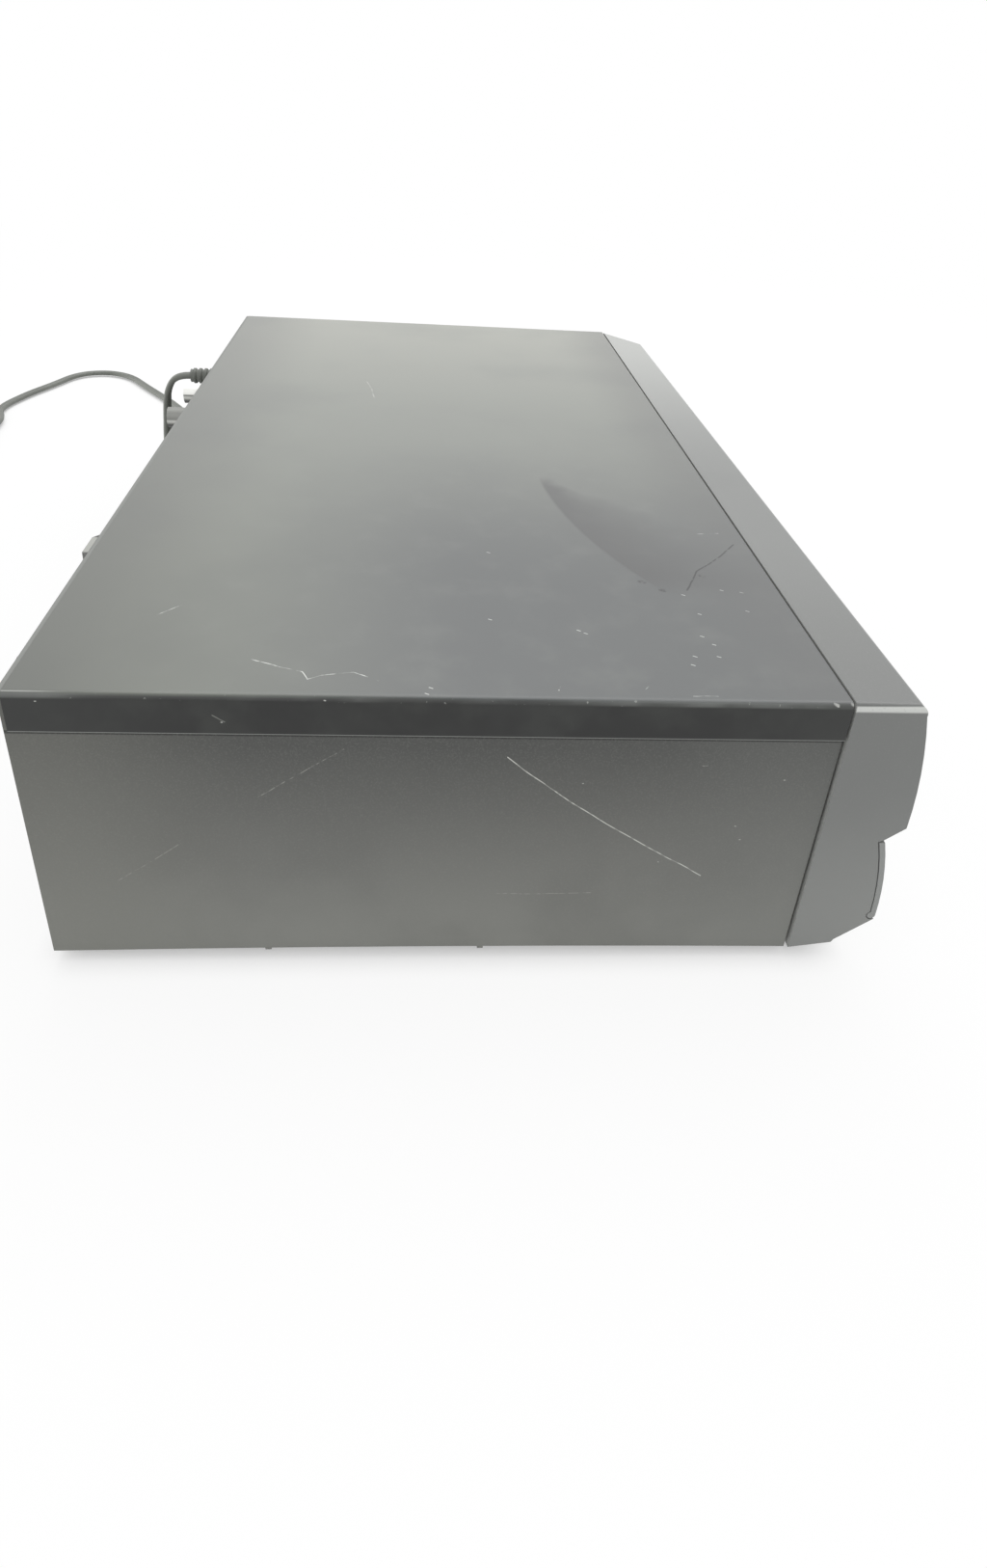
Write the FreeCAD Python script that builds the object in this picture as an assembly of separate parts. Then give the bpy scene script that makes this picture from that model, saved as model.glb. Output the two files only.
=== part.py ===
import FreeCAD, Part
import math
import os

os.makedirs("parts", exist_ok=True)

# Video cassette recorder, full-width case. Millimetres.
# X runs to the right as seen from the front, Y from the front to the back, Z up.
# The origin is the middle of the floor area that the case covers, its sockets at the back included.

V = FreeCAD.Vector

# Case
case_width = 430.0
case_height = 90.9
cover_depth = 221.3
foot_height = 5.0
nose_reach = 25.8
rear_step = 1.4
socket_reach = 15.3
seam_gap = 0.4

front_y = -(nose_reach + cover_depth + rear_step + socket_reach) / 2
seam_y = front_y + nose_reach
rear_y = seam_y + cover_depth + rear_step
top_z = foot_height + case_height
half_width = case_width / 2

# Sheet steel cover
cover_sheet = 0.9
cover_bend = 1.9
cover_flange = 11.9
cover_lip = 7.0
sheet_clearance = 0.1

# Moulded cabinet
wall = 2.5
floor_wall = 2.5
side_face_x = half_width - cover_sheet - sheet_clearance
rim_height = 0.3
rim_step = 1.3
floor_z = foot_height + floor_wall
boss_radius = 3.5
board_z = floor_z + 3.0
board_thick = 1.6
screw_pilot = 1.3
side_arch = 0.9
skirt_drop = 0.65
skirt_thick = 1.0
stub_places = (62.5, 126.5)
stub_width = 1.8
stub_reach = 1.2

# Front bezel, heights measured from the case bottom
bezel_wall = 2.5
bezel_round = 2.0
nose_low = 48.2
nose_high = 87.4
nose_radius = 153.2
bezel_top_reach = 18.6
ledge_reach = 20.1
ledge_height = 43.6
end_inset = 2.0
end_cut_width = 20.5
end_cut_depth = 16.2
chin_height = 12.0
chin_foot_reach = 14.5
chin_foot_height = 3.3

# Flap-down control door in the lower front
door_thick = 2.0
door_reach = 25.4
door_radius = 105.0
door_top = 42.7
door_gap = 0.3
recess_reach = 9.0
recess_wall = 2.0
recess_low = 17.5
recess_high = 41.5
recess_end = 5.0
hinge_bead = 1.3
hinge_pin = 0.7
hinge_clearance = 0.06
lug_width = 5.0
lug_margin = 24.0

# Tape deck, placed to the left of the middle
deck_margin = 140.0
deck_x = -half_width + deck_margin
cassette_width = 187.0
cassette_thick = 25.0
load_height = 36.5
lift = 20.0
travel = 60.0
slot_width = 196.0
slot_height = 28.4
slot_low = 55.0
flap_thick = 2.2
flap_bead = 2.0
flap_gap = 0.35

# Deck chassis
chassis_z = foot_height + 23.2
chassis_thick = 1.6
chassis_half = 103.0
chassis_front = 6.0
chassis_back = 205.0
chassis_top = chassis_z + chassis_thick
bearing_radius = 5.0
bearing_clearance = 0.06

# Cassette carriage
basket_front = 8.0
basket_depth = 64.0
basket_sheet = 1.0
basket_clearance = 1.1
rail_width = 8.0
slider_gap = 1.0
slider_thick = 1.2
slider_pin = 1.5
frame_gap = 1.2
frame_thick = 1.2
pin_clearance = 0.15
guide_low = 79.2

# Drum and tape path, from the seam and the deck's middle
drum_radius = 31.0
drum_y = 168.0
drum_half = 19.0
drum_gap = 0.6
drum_shaft = 3.0
reel_spacing = 92.0
reel_y = 76.0
reel_rim = 20.0
reel_hub = 11.0
spindle_radius = 4.5
post_radius = 2.0
clutch_y = 102.0
clutch_wheel = 16.7
clutch_pulley_radius = 14.0
idler_radius = 13.0
idler_arm_length = 30.0
wheel_thick = 4.5
rubber_gap = 0.3
capstan_x = 66.0
capstan_y = 131.0
capstan_radius = 2.0
capstan_pulley_radius = 8.0
flywheel_radius = 24.0
flywheel_thick = 4.0
belt_thick = 1.0
belt_width = 3.0
belt_gap = 0.3
pinch_radius = 6.0
pinch_pivot_x = 82.0
pinch_pivot_y = 141.0
pinch_swing = 25.0

# Tape loading
arm_pivot_y = 145.7
arm_radius = 38.7
arm_start = -60.3
arm_swing = 99.0
loading_teeth = 26
loading_gear_thick = 3.0
guide_roller = 3.0
cam_teeth = 36
tooth_module = 1.0
worm_radius = 2.1
worm_gap = 0.35

# Controls
button_gap = 0.3
button_proud = 0.8
button_travel = 1.2
button_flange = 1.5
stem_radius = 2.0
control_board_reach = 4.2
switch_height = 5.0
switch_side = 6.0

# Sockets and cord
socket_margin = 160.0
socket_x = half_width - socket_margin
socket_spacing = 40.0
socket_drop = 14.9
socket_z = top_z - socket_drop
socket_radius = 4.75
jack_radius = 4.15
jack_bore = 1.6
jack_spacing = 16.0
cord_diameter = 5.6
cord_margin = 85.5
cord_exit_x = half_width - cord_margin
cord_exit_z = socket_z
boot_length = 18.7
boot_radius = 4.2
boot_ribs = 4

# Helpers


def save(node, *solids):
    shape = solids[0] if len(solids) == 1 else Part.makeCompound(list(solids))
    shape.exportStep("parts/" + node + ".step")
    return shape


def box(x0, x1, y0, y1, z0, z1):
    return Part.makeBox(x1 - x0, y1 - y0, z1 - z0, V(x0, y0, z0))


def post(x, y, z0, z1, radius):
    return Part.makeCylinder(radius, z1 - z0, V(x, y, z0))


def rod_x(x0, x1, y, z, radius):
    return Part.makeCylinder(radius, x1 - x0, V(x0, y, z), V(1, 0, 0))


def rod_y(x, y0, y1, z, radius):
    return Part.makeCylinder(radius, y1 - y0, V(x, y0, z), V(0, 1, 0))


def join(*shapes):
    return shapes[0].multiFuse(list(shapes[1:])).removeSplitter()


def cut(shape, *tools):
    return shape.cut(list(tools))


def polygon(points):
    return Part.Face(Part.makePolygon(points + [points[0]]))


def slab(points, z0, z1):
    return polygon([V(x, y, z0) for x, y in points]).extrude(V(0, 0, z1 - z0))


def section_x(edges, x0, x1):
    """A closed outline in the YZ plane, drawn at X = 0, pushed along X."""
    face = Part.Face(Part.Wire(edges))
    face.translate(V(x0, 0, 0))
    return face.extrude(V(x1 - x0, 0, 0))


def line(a, b):
    return Part.LineSegment(a, b).toShape()


def arc(a, middle, b):
    return Part.Arc(a, middle, b).toShape()


def at(reach, height):
    """A point of the side view, reach in front of the seam and height above the case bottom."""
    return V(0, seam_y - reach, foot_height + height)


def curve_reach(reach, radius, low, height):
    """How far in front of the seam a face stands that bulges most at the height low."""
    return reach - radius + math.sqrt(radius**2 - (height - low) ** 2)


def nose_at(height, inset=0.0):
    return curve_reach(nose_reach - inset, nose_radius - inset, nose_low, height)


def door_at(height, inset=0.0):
    return curve_reach(door_reach - inset, door_radius - inset, chin_height, height)


def face_arc(reach_at, low, high, inset=0.0):
    middle = (low + high) / 2
    return arc(*[at(reach_at(h, inset), h) for h in (low, middle, high)])


def curved_block(x0, x1, low, high, proud, back_reach):
    """A block whose front follows the nose, standing proud of it, with a flat back."""
    front = face_arc(nose_at, low, high, -proud)
    low_front = at(nose_at(low, -proud), low)
    high_front = at(nose_at(high, -proud), high)
    edges = [
        front,
        line(high_front, at(back_reach, high)),
        line(at(back_reach, high), at(back_reach, low)),
        line(at(back_reach, low), low_front),
    ]
    return section_x(edges, x0, x1)


def gear(x, y, z0, thick, teeth, turn=0.0):
    """A spur gear of plain tapered teeth on its pitch circle, made of one outline."""
    pitch = teeth * tooth_module / 2
    outer = pitch + 0.9 * tooth_module
    root = pitch - 1.15 * tooth_module
    step = 2 * math.pi / teeth
    points = []
    for n in range(teeth):
        middle = turn + n * step
        for radius, share in ((root, -0.34), (outer, -0.13), (outer, 0.13), (root, 0.34)):
            angle = middle + share * step
            points.append((x + radius * math.cos(angle), y + radius * math.sin(angle)))
    return slab(points, z0, z0 + thick)


# Cover of one bent sheet, open at the front, the bottom and the back


def cover_outline(inset):
    x = half_width - inset
    top = top_z - inset
    bend = cover_bend - inset
    corner = bend * (1 - math.sqrt(0.5))
    low = top_z - cover_flange
    left = arc(V(-x, 0, top - bend), V(-x + corner, 0, top - corner), V(-x + bend, 0, top))
    right = arc(V(x - bend, 0, top), V(x - corner, 0, top - corner), V(x, 0, top - bend))
    return [
        line(V(-x, 0, low), V(-x, 0, top - bend)),
        left,
        line(V(-x + bend, 0, top), V(x - bend, 0, top)),
        right,
        line(V(x, 0, top - bend), V(x, 0, low)),
    ]


def make_top_cover():
    low = top_z - cover_flange
    outside = cover_outline(0)
    inside = cover_outline(cover_sheet)
    x_out = half_width
    x_in = half_width - cover_sheet
    ends = [line(V(s * x_out, 0, low), V(s * x_in, 0, low)) for s in (-1, 1)]
    wire = Part.Wire(Part.__sortEdges__(outside + inside + ends))
    face = Part.Face(wire)
    face.translate(V(0, seam_y + seam_gap, 0))
    sheet = face.extrude(V(0, cover_depth - seam_gap, 0))
    lip_x = half_width - 6 * cover_bend
    back = seam_y + cover_depth
    lip = box(-lip_x, lip_x, back - cover_sheet, back, top_z - cover_lip, top_z - cover_sheet / 2)
    holes = [rod_y(x, back - 2, back + 1, z, screw_radius + sheet_clearance) for x, z in rear_screws]
    x0, x1 = rf_window_x
    holes.append(box(x0, x1, back - 2, back + 1, top_z - cover_lip - 1, rf_window_z[1]))
    return cut(join(sheet, lip), *holes)


# Moulded cabinet: floor, sides and back in one, with the bosses that carry the boards and the deck

board_x = (-side_face_x + wall + 1.5, half_width - 119.0)
power_board_x = (board_x[1] + 4.0, half_width - 6.0)
board_bosses = [(x, y) for x in (board_x[0] + 10.0, deck_x + 15.0, board_x[1] - 10.0) for y in (22.0, 196.0)]
power_bosses = [(x, y) for x in (power_board_x[0] + 8.0, power_board_x[1] - 7.0) for y in (100.0, 200.0)]
deck_posts = [(deck_x + s * (chassis_half - 6), y) for s in (-1, 1) for y in (14.0, 196.0)]
foot_places = [(sx * (half_width - 35.0), y) for sx in (-1, 1) for y in (20.0, 196.0)]
foot_radius = 9.0
deck_post_radius = 4.5
vent_width = 2.6
vent_pitch = 7.0


def cabinet_shell():
    front = seam_y + seam_gap
    top = top_z - cover_sheet - rim_height
    back_in = rear_y - wall
    outer = box(-side_face_x, side_face_x, front, rear_y, foot_height, top)
    cover_end = seam_y + cover_depth + sheet_clearance
    for side in (-1, 1):
        x0, x1 = sorted((side * (side_face_x + 1), side * (side_face_x - rim_step)))
        outer = outer.cut(box(x0, x1, front - 1, cover_end, top - rim_step, top + 1))
    inner_x = side_face_x - wall
    inner = box(-inner_x, inner_x, front - 1, back_in, floor_z, top + 1)
    rim = box(-side_face_x, side_face_x, cover_end, rear_y, top - 1, top_z - rim_height)
    lip_room = box(-inner_x, inner_x, back_in - 1, cover_end, top_z - cover_lip - 0.3, top + 1)
    shell = cut(join(cut(outer, inner), rim), lip_room)
    skirts = []
    for side in (-1, 1):
        x0, x1 = sorted((side * side_face_x, side * (side_face_x - skirt_thick)))
        skirts.append(box(x0, x1, front, rear_y, foot_height - skirt_drop, floor_z))
    return arched(join(shell, *skirts))


def arched(shell):
    """The long side walls' lower edge rises a little towards its middle."""
    half = cover_depth / 2
    radius = (half**2 + side_arch**2) / (2 * side_arch)
    middle = seam_y + half
    low = foot_height - skirt_drop
    centre = V(0, middle, low + side_arch - radius)
    cutter = Part.makeCylinder(radius, 2 * skirt_thick, centre, V(1, 0, 0))
    band = box(0, 2 * skirt_thick, seam_y + 3, rear_y - 3, low - 1, low + side_arch)
    cutter = cutter.common(band)
    for x in (-side_face_x - skirt_thick, side_face_x - skirt_thick):
        tool = cutter.copy()
        tool.translate(V(x, 0, 0))
        shell = shell.cut(tool)
    return shell


def cabinet_bosses():
    bosses = []
    for x, y in board_bosses + power_bosses:
        bosses.append(cut(post(x, seam_y + y, floor_z - 0.5, board_z, boss_radius),
                          post(x, seam_y + y, floor_z, board_z + 1, screw_pilot)))
    for x, y in deck_posts:
        bosses.append(cut(post(x, seam_y + y, floor_z - 0.5, chassis_z, deck_post_radius),
                          post(x, seam_y + y, floor_z, chassis_z + 1, screw_pilot)))
    return bosses


def cabinet_openings():
    tools = []
    for n in range(12):
        x = power_board_x[0] + 18.0 + n * vent_pitch
        tools.append(box(x, x + vent_width, seam_y + 120, seam_y + 185, foot_height - 1, floor_z + 1))
    for n in range(14):
        x = -half_width + 25.0 + n * vent_pitch
        slot = box(x, x + vent_width, rear_y - wall - 1, rear_y + 1, foot_height + 20, foot_height + 62)
        tools.append(slot)
    low, high = rf_window_z
    tools.append(box(rf_window_x[0], rf_window_x[1], rear_y - wall - 1, rear_y + 1, low, high))
    low, high = jack_window_z
    tools.append(box(jack_window_x[0], jack_window_x[1], rear_y - wall - 1, rear_y + 1, low, high))
    tools.append(rod_y(cord_exit_x, rear_y - wall - 1, rear_y + 1, cord_exit_z, boot_neck + 0.2))
    for x, z in rear_screws:
        tools.append(rod_y(x, rear_y - wall - 1, rear_y + 1, z, screw_radius + 0.1))
    return tools


rf_window_x = (socket_x - 2 * socket_radius - 4, socket_x + socket_spacing + 2 * socket_radius + 4)
rf_window_z = (socket_z - 11.0, socket_z + 9.5)
jack_window_x = (-62.0, 8.0)
jack_window_z = (foot_height + 22.0, foot_height + 42.0)
boot_neck = 4.6
screw_radius = 1.5
rear_screws = [(side * (half_width - 20.0), top_z - 4.4) for side in (-1, 0, 1)]


def edge_stubs():
    """Small moulded stubs that reach below the side walls' lower edges."""
    low = foot_height - stub_reach
    stubs = []
    for side in (-1, 1):
        x0, x1 = sorted((side * (side_face_x - 0.5), side * (side_face_x - wall + 0.2)))
        for back in stub_places:
            y = rear_y - back
            stubs.append(box(x0, x1, y - stub_width / 2, y + stub_width / 2, low, floor_z + 1))
    return stubs


def make_cabinet():
    shell = cut(cabinet_shell(), *cabinet_openings())
    return join(shell, *cabinet_bosses(), *edge_stubs())


# Front bezel: one moulding with a bulging nose, a recess behind the flap-down door and a chin

slot_x = (deck_x - slot_width / 2, deck_x + slot_width / 2)
slot_high = slot_low + slot_height
window_x = (slot_x[1] + 17.0, half_width - 43.0)
window_low = 68.0
window_high = 85.0
window_frame = 2.0
window_frame_thick = 1.0
recess_x = (-half_width + recess_end, half_width - 39.0)
hinge_height = chin_height + door_gap + hinge_bead
hinge_reach = door_at(hinge_height) - hinge_bead
bezel_top_drop = 0.4
shoulder_swell = 0.35


def bezel_outline():
    top_front = at(bezel_top_reach, case_height - bezel_top_drop)
    nose_top = at(nose_at(nose_high), nose_high)
    reach = (bezel_top_reach + nose_at(nose_high)) / 2 + shoulder_swell
    shoulder = at(reach, (case_height - bezel_top_drop + nose_high) / 2 + 2 * shoulder_swell)
    seam_top = at(door_at(door_top + door_gap, door_thick), door_top + door_gap)
    seam_foot = at(door_at(chin_height, door_thick), chin_height)
    lip = at(door_reach - 0.2, chin_height)
    foot = at(chin_foot_reach, chin_foot_height)
    return [
        line(at(seam_gap, case_height), top_front),
        arc(top_front, shoulder, nose_top),
        face_arc(nose_at, nose_low, nose_high),
        line(at(nose_reach, nose_low), at(ledge_reach, ledge_height)),
        line(at(ledge_reach, ledge_height), seam_top),
        face_arc(door_at, chin_height, door_top + door_gap, door_thick),
        line(seam_foot, lip),
        line(lip, foot),
        line(foot, at(chin_foot_reach - 0.6, chin_foot_height - 1.2)),
        line(at(chin_foot_reach - 0.6, chin_foot_height - 1.2), at(seam_gap, 0)),
        line(at(seam_gap, 0), at(seam_gap, case_height)),
    ]


def bezel_hollow(x0, x1):
    top = case_height - bezel_top_drop - bezel_wall
    high = nose_high - 1.0
    low = nose_low + 1.6
    ceiling = recess_high + recess_wall + 1.0
    behind = recess_reach - recess_wall
    edges = [
        line(at(-1, top), at(bezel_top_reach - 0.8, top)),
        line(at(bezel_top_reach - 0.8, top), at(nose_at(high, bezel_wall), high)),
        face_arc(nose_at, low, high, bezel_wall),
        line(at(nose_at(low, bezel_wall), low), at(ledge_reach - 1.5, ceiling)),
        line(at(ledge_reach - 1.5, ceiling), at(behind, ceiling)),
        line(at(behind, ceiling), at(behind, recess_low - recess_wall - 1.0)),
        line(at(behind, recess_low - recess_wall - 1.0), at(behind, wall)),
        line(at(behind, wall), at(-1, wall)),
        line(at(-1, wall), at(-1, top)),
    ]
    return section_x(edges, x0, x1)


def end_plan(inset, front):
    """The plan of the bezel or a piece of it, with its right end cut off at a slant."""
    left = -half_width + inset
    right = half_width - end_inset
    slope = end_cut_width / end_cut_depth
    back_step = inset * math.sqrt(1 + slope**2)
    right_back = right - back_step + slope * (seam_gap + 1)
    return slab(
        [
            (left, seam_y + 1),
            (right_back, seam_y + 1),
            (right_back - slope * (front + 1), seam_y - front),
            (left, seam_y - front),
        ],
        foot_height - 2,
        top_z + 2,
    )


def hinge_places():
    """The middles of the two hinge lugs along X."""
    return (-half_width + lug_margin, recess_x[1] - lug_margin)


def bezel_lugs():
    """Two lugs that stand on the chin inside the door's bead, each with the pin's hole."""
    y = seam_y - hinge_reach
    z = foot_height + hinge_height
    lugs = []
    for middle in hinge_places():
        x0, x1 = middle - lug_width / 2, middle + lug_width / 2
        stand = box(x0, x1, y - 1.0, y + 1.0, foot_height + chin_height - 1, z)
        lugs.append(cut(rod_x(x0, x1, y, z, hinge_bead).fuse(stand),
                        rod_x(x0 - 1, x1 + 1, y, z, hinge_pin + hinge_clearance)))
    return lugs


def rounded_ends(solid):
    """The bezel's top rounds over into both ends."""
    edges = []
    for edge in solid.Edges:
        bounds = edge.BoundBox
        runs_back = bounds.YLength > 0.5 and bounds.YMax < seam_y
        if runs_back and bounds.ZMin > top_z - bezel_top_drop - 0.1:
            edges.append(edge)
    return solid.makeFillet(bezel_round, edges)


def make_front_bezel():
    outer = section_x(bezel_outline(), -half_width, half_width).common(end_plan(0, 30))
    outer = rounded_ends(outer)
    hollow = bezel_hollow(-half_width, half_width).common(end_plan(bezel_wall, 30))
    shell = outer.cut(hollow)
    z0 = foot_height
    tools = [
        box(slot_x[0], slot_x[1], seam_y - 30, seam_y - 12, z0 + slot_low, z0 + slot_high),
        box(recess_x[0], recess_x[1], seam_y - 30, seam_y - recess_reach, z0 + recess_low, z0 + recess_high),
        box(window_x[0], window_x[1], seam_y - 30, seam_y - 12, z0 + window_low, z0 + window_high),
    ]
    bead_room = hinge_bead + door_gap
    tools.append(rod_x(-half_width - 1, half_width, seam_y - hinge_reach, z0 + hinge_height, bead_room))
    for _, x, height, across, tall in front_buttons:
        half = across / 2 + button_gap
        up = tall / 2 + button_gap
        tools.append(box(x - half, x + half, seam_y - 30, seam_y - 12, z0 + height - up, z0 + height + up))
    for _, x, height in recess_buttons:
        half = recess_button_side / 2 + button_gap
        tools.append(box(x - half, x + half, seam_y - 12, seam_y - 4, z0 + height - half, z0 + height + half))
    for n in range(3):
        x = front_jack_x + n * jack_spacing
        tools.append(rod_y(x, seam_y - 12, seam_y - 4, z0 + front_jack_height, jack_radius + 0.2))
    shell = cut(shell, *tools)
    tabs = []
    for x in (-150.0, 0.0, 150.0):
        tabs.append(box(x - 6, x + 6, seam_y - 2, seam_y + 7, floor_z + 0.3, floor_z + 2.1))
        bridge_front = seam_y - recess_reach + recess_wall - 0.5
        tabs.append(box(x - 6, x + 6, bridge_front, seam_y - 1, floor_z - 1.0, floor_z + 2.1))
    body = join(shell, *(bezel_lugs() + tabs + flap_ears()))
    pin_hole = flap_pin_radius + hinge_clearance
    return body.cut(rod_x(slot_x[0] - flap_pin_length - 0.2, slot_x[1] + flap_pin_length + 0.2,
                          seam_y - flap_pivot_reach, z0 + flap_pivot_height, pin_hole))


# Buttons of the front: name, middle along X, height of the middle, width, height
side_button_x = (slot_x[0] - half_width) / 2 + 1.0
side_button_width = slot_x[0] + half_width - 20.0
front_buttons = [("power_button", side_button_x, 77.0, side_button_width, 9.0),
                 ("eject_button", side_button_x, 60.0, side_button_width, 9.0)]
transport_names = ["rewind", "play", "fast_forward", "stop", "pause", "record"]
for number, name in enumerate(transport_names):
    front_buttons.append((name + "_button", window_x[0] + 11.0 + 22.5 * number, 57.5, 19.0, 8.0))
recess_button_side = 9.0
recess_buttons = [("channel_up_button", window_x[0] + 20.0, 30.0),
                  ("channel_down_button", window_x[0] + 36.0, 30.0)]
front_jack_x = -half_width + 25.0
front_jack_height = 29.0


def make_front_button(x, height, across, tall):
    """A cap that follows the nose, a stop flange behind the wall and a stem towards its switch."""
    low = height - tall / 2
    high = height + tall / 2
    flange_reach = nose_at(high + button_flange, bezel_wall) - button_gap
    cap = curved_block(x - across / 2, x + across / 2, low, high, button_proud, flange_reach - 0.5)
    rounded = [e for e in cap.Edges if e.BoundBox.YMax < seam_y - nose_at(high) + 0.6]
    cap = cap.makeFillet(0.5, rounded)
    z = foot_height + height
    grow = button_flange
    flange_y = seam_y - flange_reach
    flange = box(x - across / 2 - grow, x + across / 2 + grow, flange_y, flange_y + 1.0,
                 foot_height + low - grow, foot_height + high + grow)
    stem_end = seam_y - control_board_reach - switch_height - button_travel - 0.3
    stem = rod_y(x, seam_y - flange_reach, stem_end, z, stem_radius)
    return join(cap, flange, stem)


def make_recess_button(x, height):
    half = recess_button_side / 2
    z = foot_height + height
    face = seam_y - recess_reach - button_travel
    behind = seam_y - recess_reach + recess_wall + button_gap
    cap = box(x - half, x + half, face, behind + 0.5, z - half, z + half)
    cap = cap.makeFillet(0.6, [e for e in cap.Edges if e.BoundBox.YMax < face + 0.01])
    grow = button_flange
    flange = box(x - half - grow, x + half + grow, behind, behind + 0.8, z - half - grow, z + half + grow)
    return join(cap, flange)


def make_display_window():
    """A lens that lies flush in the nose, with a thin frame behind the wall."""
    gap = sheet_clearance
    lens_back = nose_at(window_high, bezel_wall) - 0.6
    x0, x1 = window_x
    lens = curved_block(x0 + gap, x1 - gap, window_low + gap, window_high - gap, 0, lens_back)
    frame_front = nose_at(window_high + 0.8, bezel_wall) - gap
    grow = window_frame
    frame_y = seam_y - frame_front
    frame = box(window_x[0] - grow, window_x[1] + grow, frame_y, frame_y + window_frame_thick,
                foot_height + window_low - grow, foot_height + window_high + 0.8)
    return join(lens, frame)


def make_control_door():
    """A curved panel as wide as the bezel; its lower edge is a bead that turns on two lugs."""
    thick = door_thick - door_gap
    y = seam_y - hinge_reach
    z = foot_height + hinge_height
    edges = [
        face_arc(door_at, hinge_height, door_top),
        line(at(door_at(door_top), door_top), at(door_at(door_top, thick), door_top)),
        face_arc(door_at, hinge_height, door_top, thick),
        line(at(door_at(hinge_height, thick), hinge_height), at(door_at(hinge_height), hinge_height)),
    ]
    panel = section_x(edges, -half_width, half_width)
    bead = rod_x(-half_width, half_width, y, z, hinge_bead)
    door = join(panel, bead).common(end_plan(0, 30))
    room = hinge_bead + 0.35
    notches = []
    pins = []
    for middle in hinge_places():
        x0, x1 = middle - lug_width / 2 - door_gap, middle + lug_width / 2 + door_gap
        notches.append(box(x0, x1, y - 3, y + 3, z - room, z + room))
        pins.append(rod_x(x0 - 1, x1 + 1, y, z, hinge_pin))
    return join(cut(door, *notches), *pins)


flap_pivot_height = slot_high - flap_gap - flap_bead
flap_pivot_reach = nose_at(flap_pivot_height) - flap_bead
flap_pin_radius = 1.0
flap_pin_length = 2.5


def make_cassette_door():
    """The flap of the cassette slot: a bead along its top edge turns on two end pins."""
    low = slot_low + flap_gap
    high = flap_pivot_height
    edges = [
        face_arc(nose_at, low, high),
        line(at(nose_at(high), high), at(nose_at(high, flap_thick), high)),
        face_arc(nose_at, low, high, flap_thick),
        line(at(nose_at(low, flap_thick), low), at(nose_at(low), low)),
    ]
    x0, x1 = slot_x[0] + flap_gap, slot_x[1] - flap_gap
    panel = section_x(edges, x0, x1)
    y = seam_y - flap_pivot_reach
    z = foot_height + flap_pivot_height
    bead = rod_x(x0, x1, y, z, flap_bead)
    pin = rod_x(x0 - flap_pin_length, x1 + flap_pin_length, y, z, flap_pin_radius)
    return join(panel, bead, pin)


def flap_ears():
    """Ears behind the bezel's wall at both ends of the slot, which hold the flap's pins."""
    y = seam_y - flap_pivot_reach
    z = foot_height + flap_pivot_height
    front = seam_y - nose_at(flap_pivot_height) + 0.8
    left = box(slot_x[0] - flap_pin_length - 1, slot_x[0], front, y + 3.0, z - 3.0, z + 3.0)
    right = box(slot_x[1], slot_x[1] + flap_pin_length + 1, front, y + 3.0, z - 3.0, z + 3.0)
    return [left, right]


# Feet, screws and the rear clip

screw_head = 2.7
screw_head_height = 1.1
clip_x = (-half_width + 81.0, -half_width + 97.0)
clip_reach = 1.8
clip_slant = 2.2
clip_height = 4.0


def make_feet():
    feet = []
    for x, y in foot_places:
        foot = Part.makeCone(foot_radius - 1.0, foot_radius, foot_height, V(x, seam_y + y, 0))
        feet.append(foot)
    return feet


def make_rear_screws():
    screws = []
    for x, z in rear_screws:
        head = rod_y(x, rear_y, rear_y + screw_head_height, z, screw_head)
        shank = rod_y(x, rear_y - wall - 6, rear_y, z, screw_radius)
        slot = box(x - 0.4, x + 0.4, rear_y + 0.4, rear_y + 2, z - 1.8, z + 1.8)
        cross = box(x - 1.8, x + 1.8, rear_y + 0.4, rear_y + 2, z - 0.4, z + 0.4)
        screws.append(cut(join(head, shank), slot, cross))
    return screws


def make_cover_clip():
    """A pressed clip with slanted ends that hooks over the rim at the back of the cover."""
    x0, x1 = clip_x
    base = rear_y + 0.05
    tip = base + clip_reach
    plan = [(x0, base), (x1, base), (x1 - clip_slant, tip), (x0 + clip_slant, tip)]
    return slab(plan, top_z - clip_height, top_z - rim_height)


# Sockets and the cord's strain relief


def make_antenna_sockets():
    sockets = []
    for n in range(2):
        x = socket_x + n * socket_spacing
        y = rear_y - wall - 2
        barrel = rod_y(x, y, rear_y + socket_reach, socket_z, socket_radius)
        nut_points = [
            V(x + 6.6 * math.cos(k * math.pi / 3), rear_y + 0.6, socket_z + 6.6 * math.sin(k * math.pi / 3))
            for k in range(6)
        ]
        nut = polygon(nut_points).extrude(V(0, 2.4, 0))
        hole = rod_y(x, rear_y + 3, rear_y + socket_reach + 1, socket_z, socket_bore)
        sockets.append(cut(join(barrel, nut), hole))
    return sockets


socket_bore = 3.4
rf_depth = 62.0
rf_top_drop = 6.8


def make_rf_block():
    """The tuner and modulator can: a box with a flange that stands in the back's window."""
    x0, x1 = rf_window_x[0] + 0.3, rf_window_x[1] - 0.3
    back = rear_y - wall - 2
    low = board_z + board_thick
    can = box(x0, x1, back - rf_depth, back, low, top_z - rf_top_drop)
    plate = box(x0, x1, back - 1, rear_y - 0.8, rf_window_z[0] + 0.3, rf_window_z[1] - 0.3)
    slots = [box(x0 + 6 + n * 9, x0 + 9 + n * 9, back - rf_depth - 1, back - rf_depth + 1, low + 12, low + 60)
             for n in range(4)]
    bodies = join(can, plate)
    holes = [rod_y(socket_x + n * socket_spacing, back - 0.01, rear_y, socket_z, socket_radius + 0.05)
             for n in range(2)]
    return cut(bodies, *(slots + holes))


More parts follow.
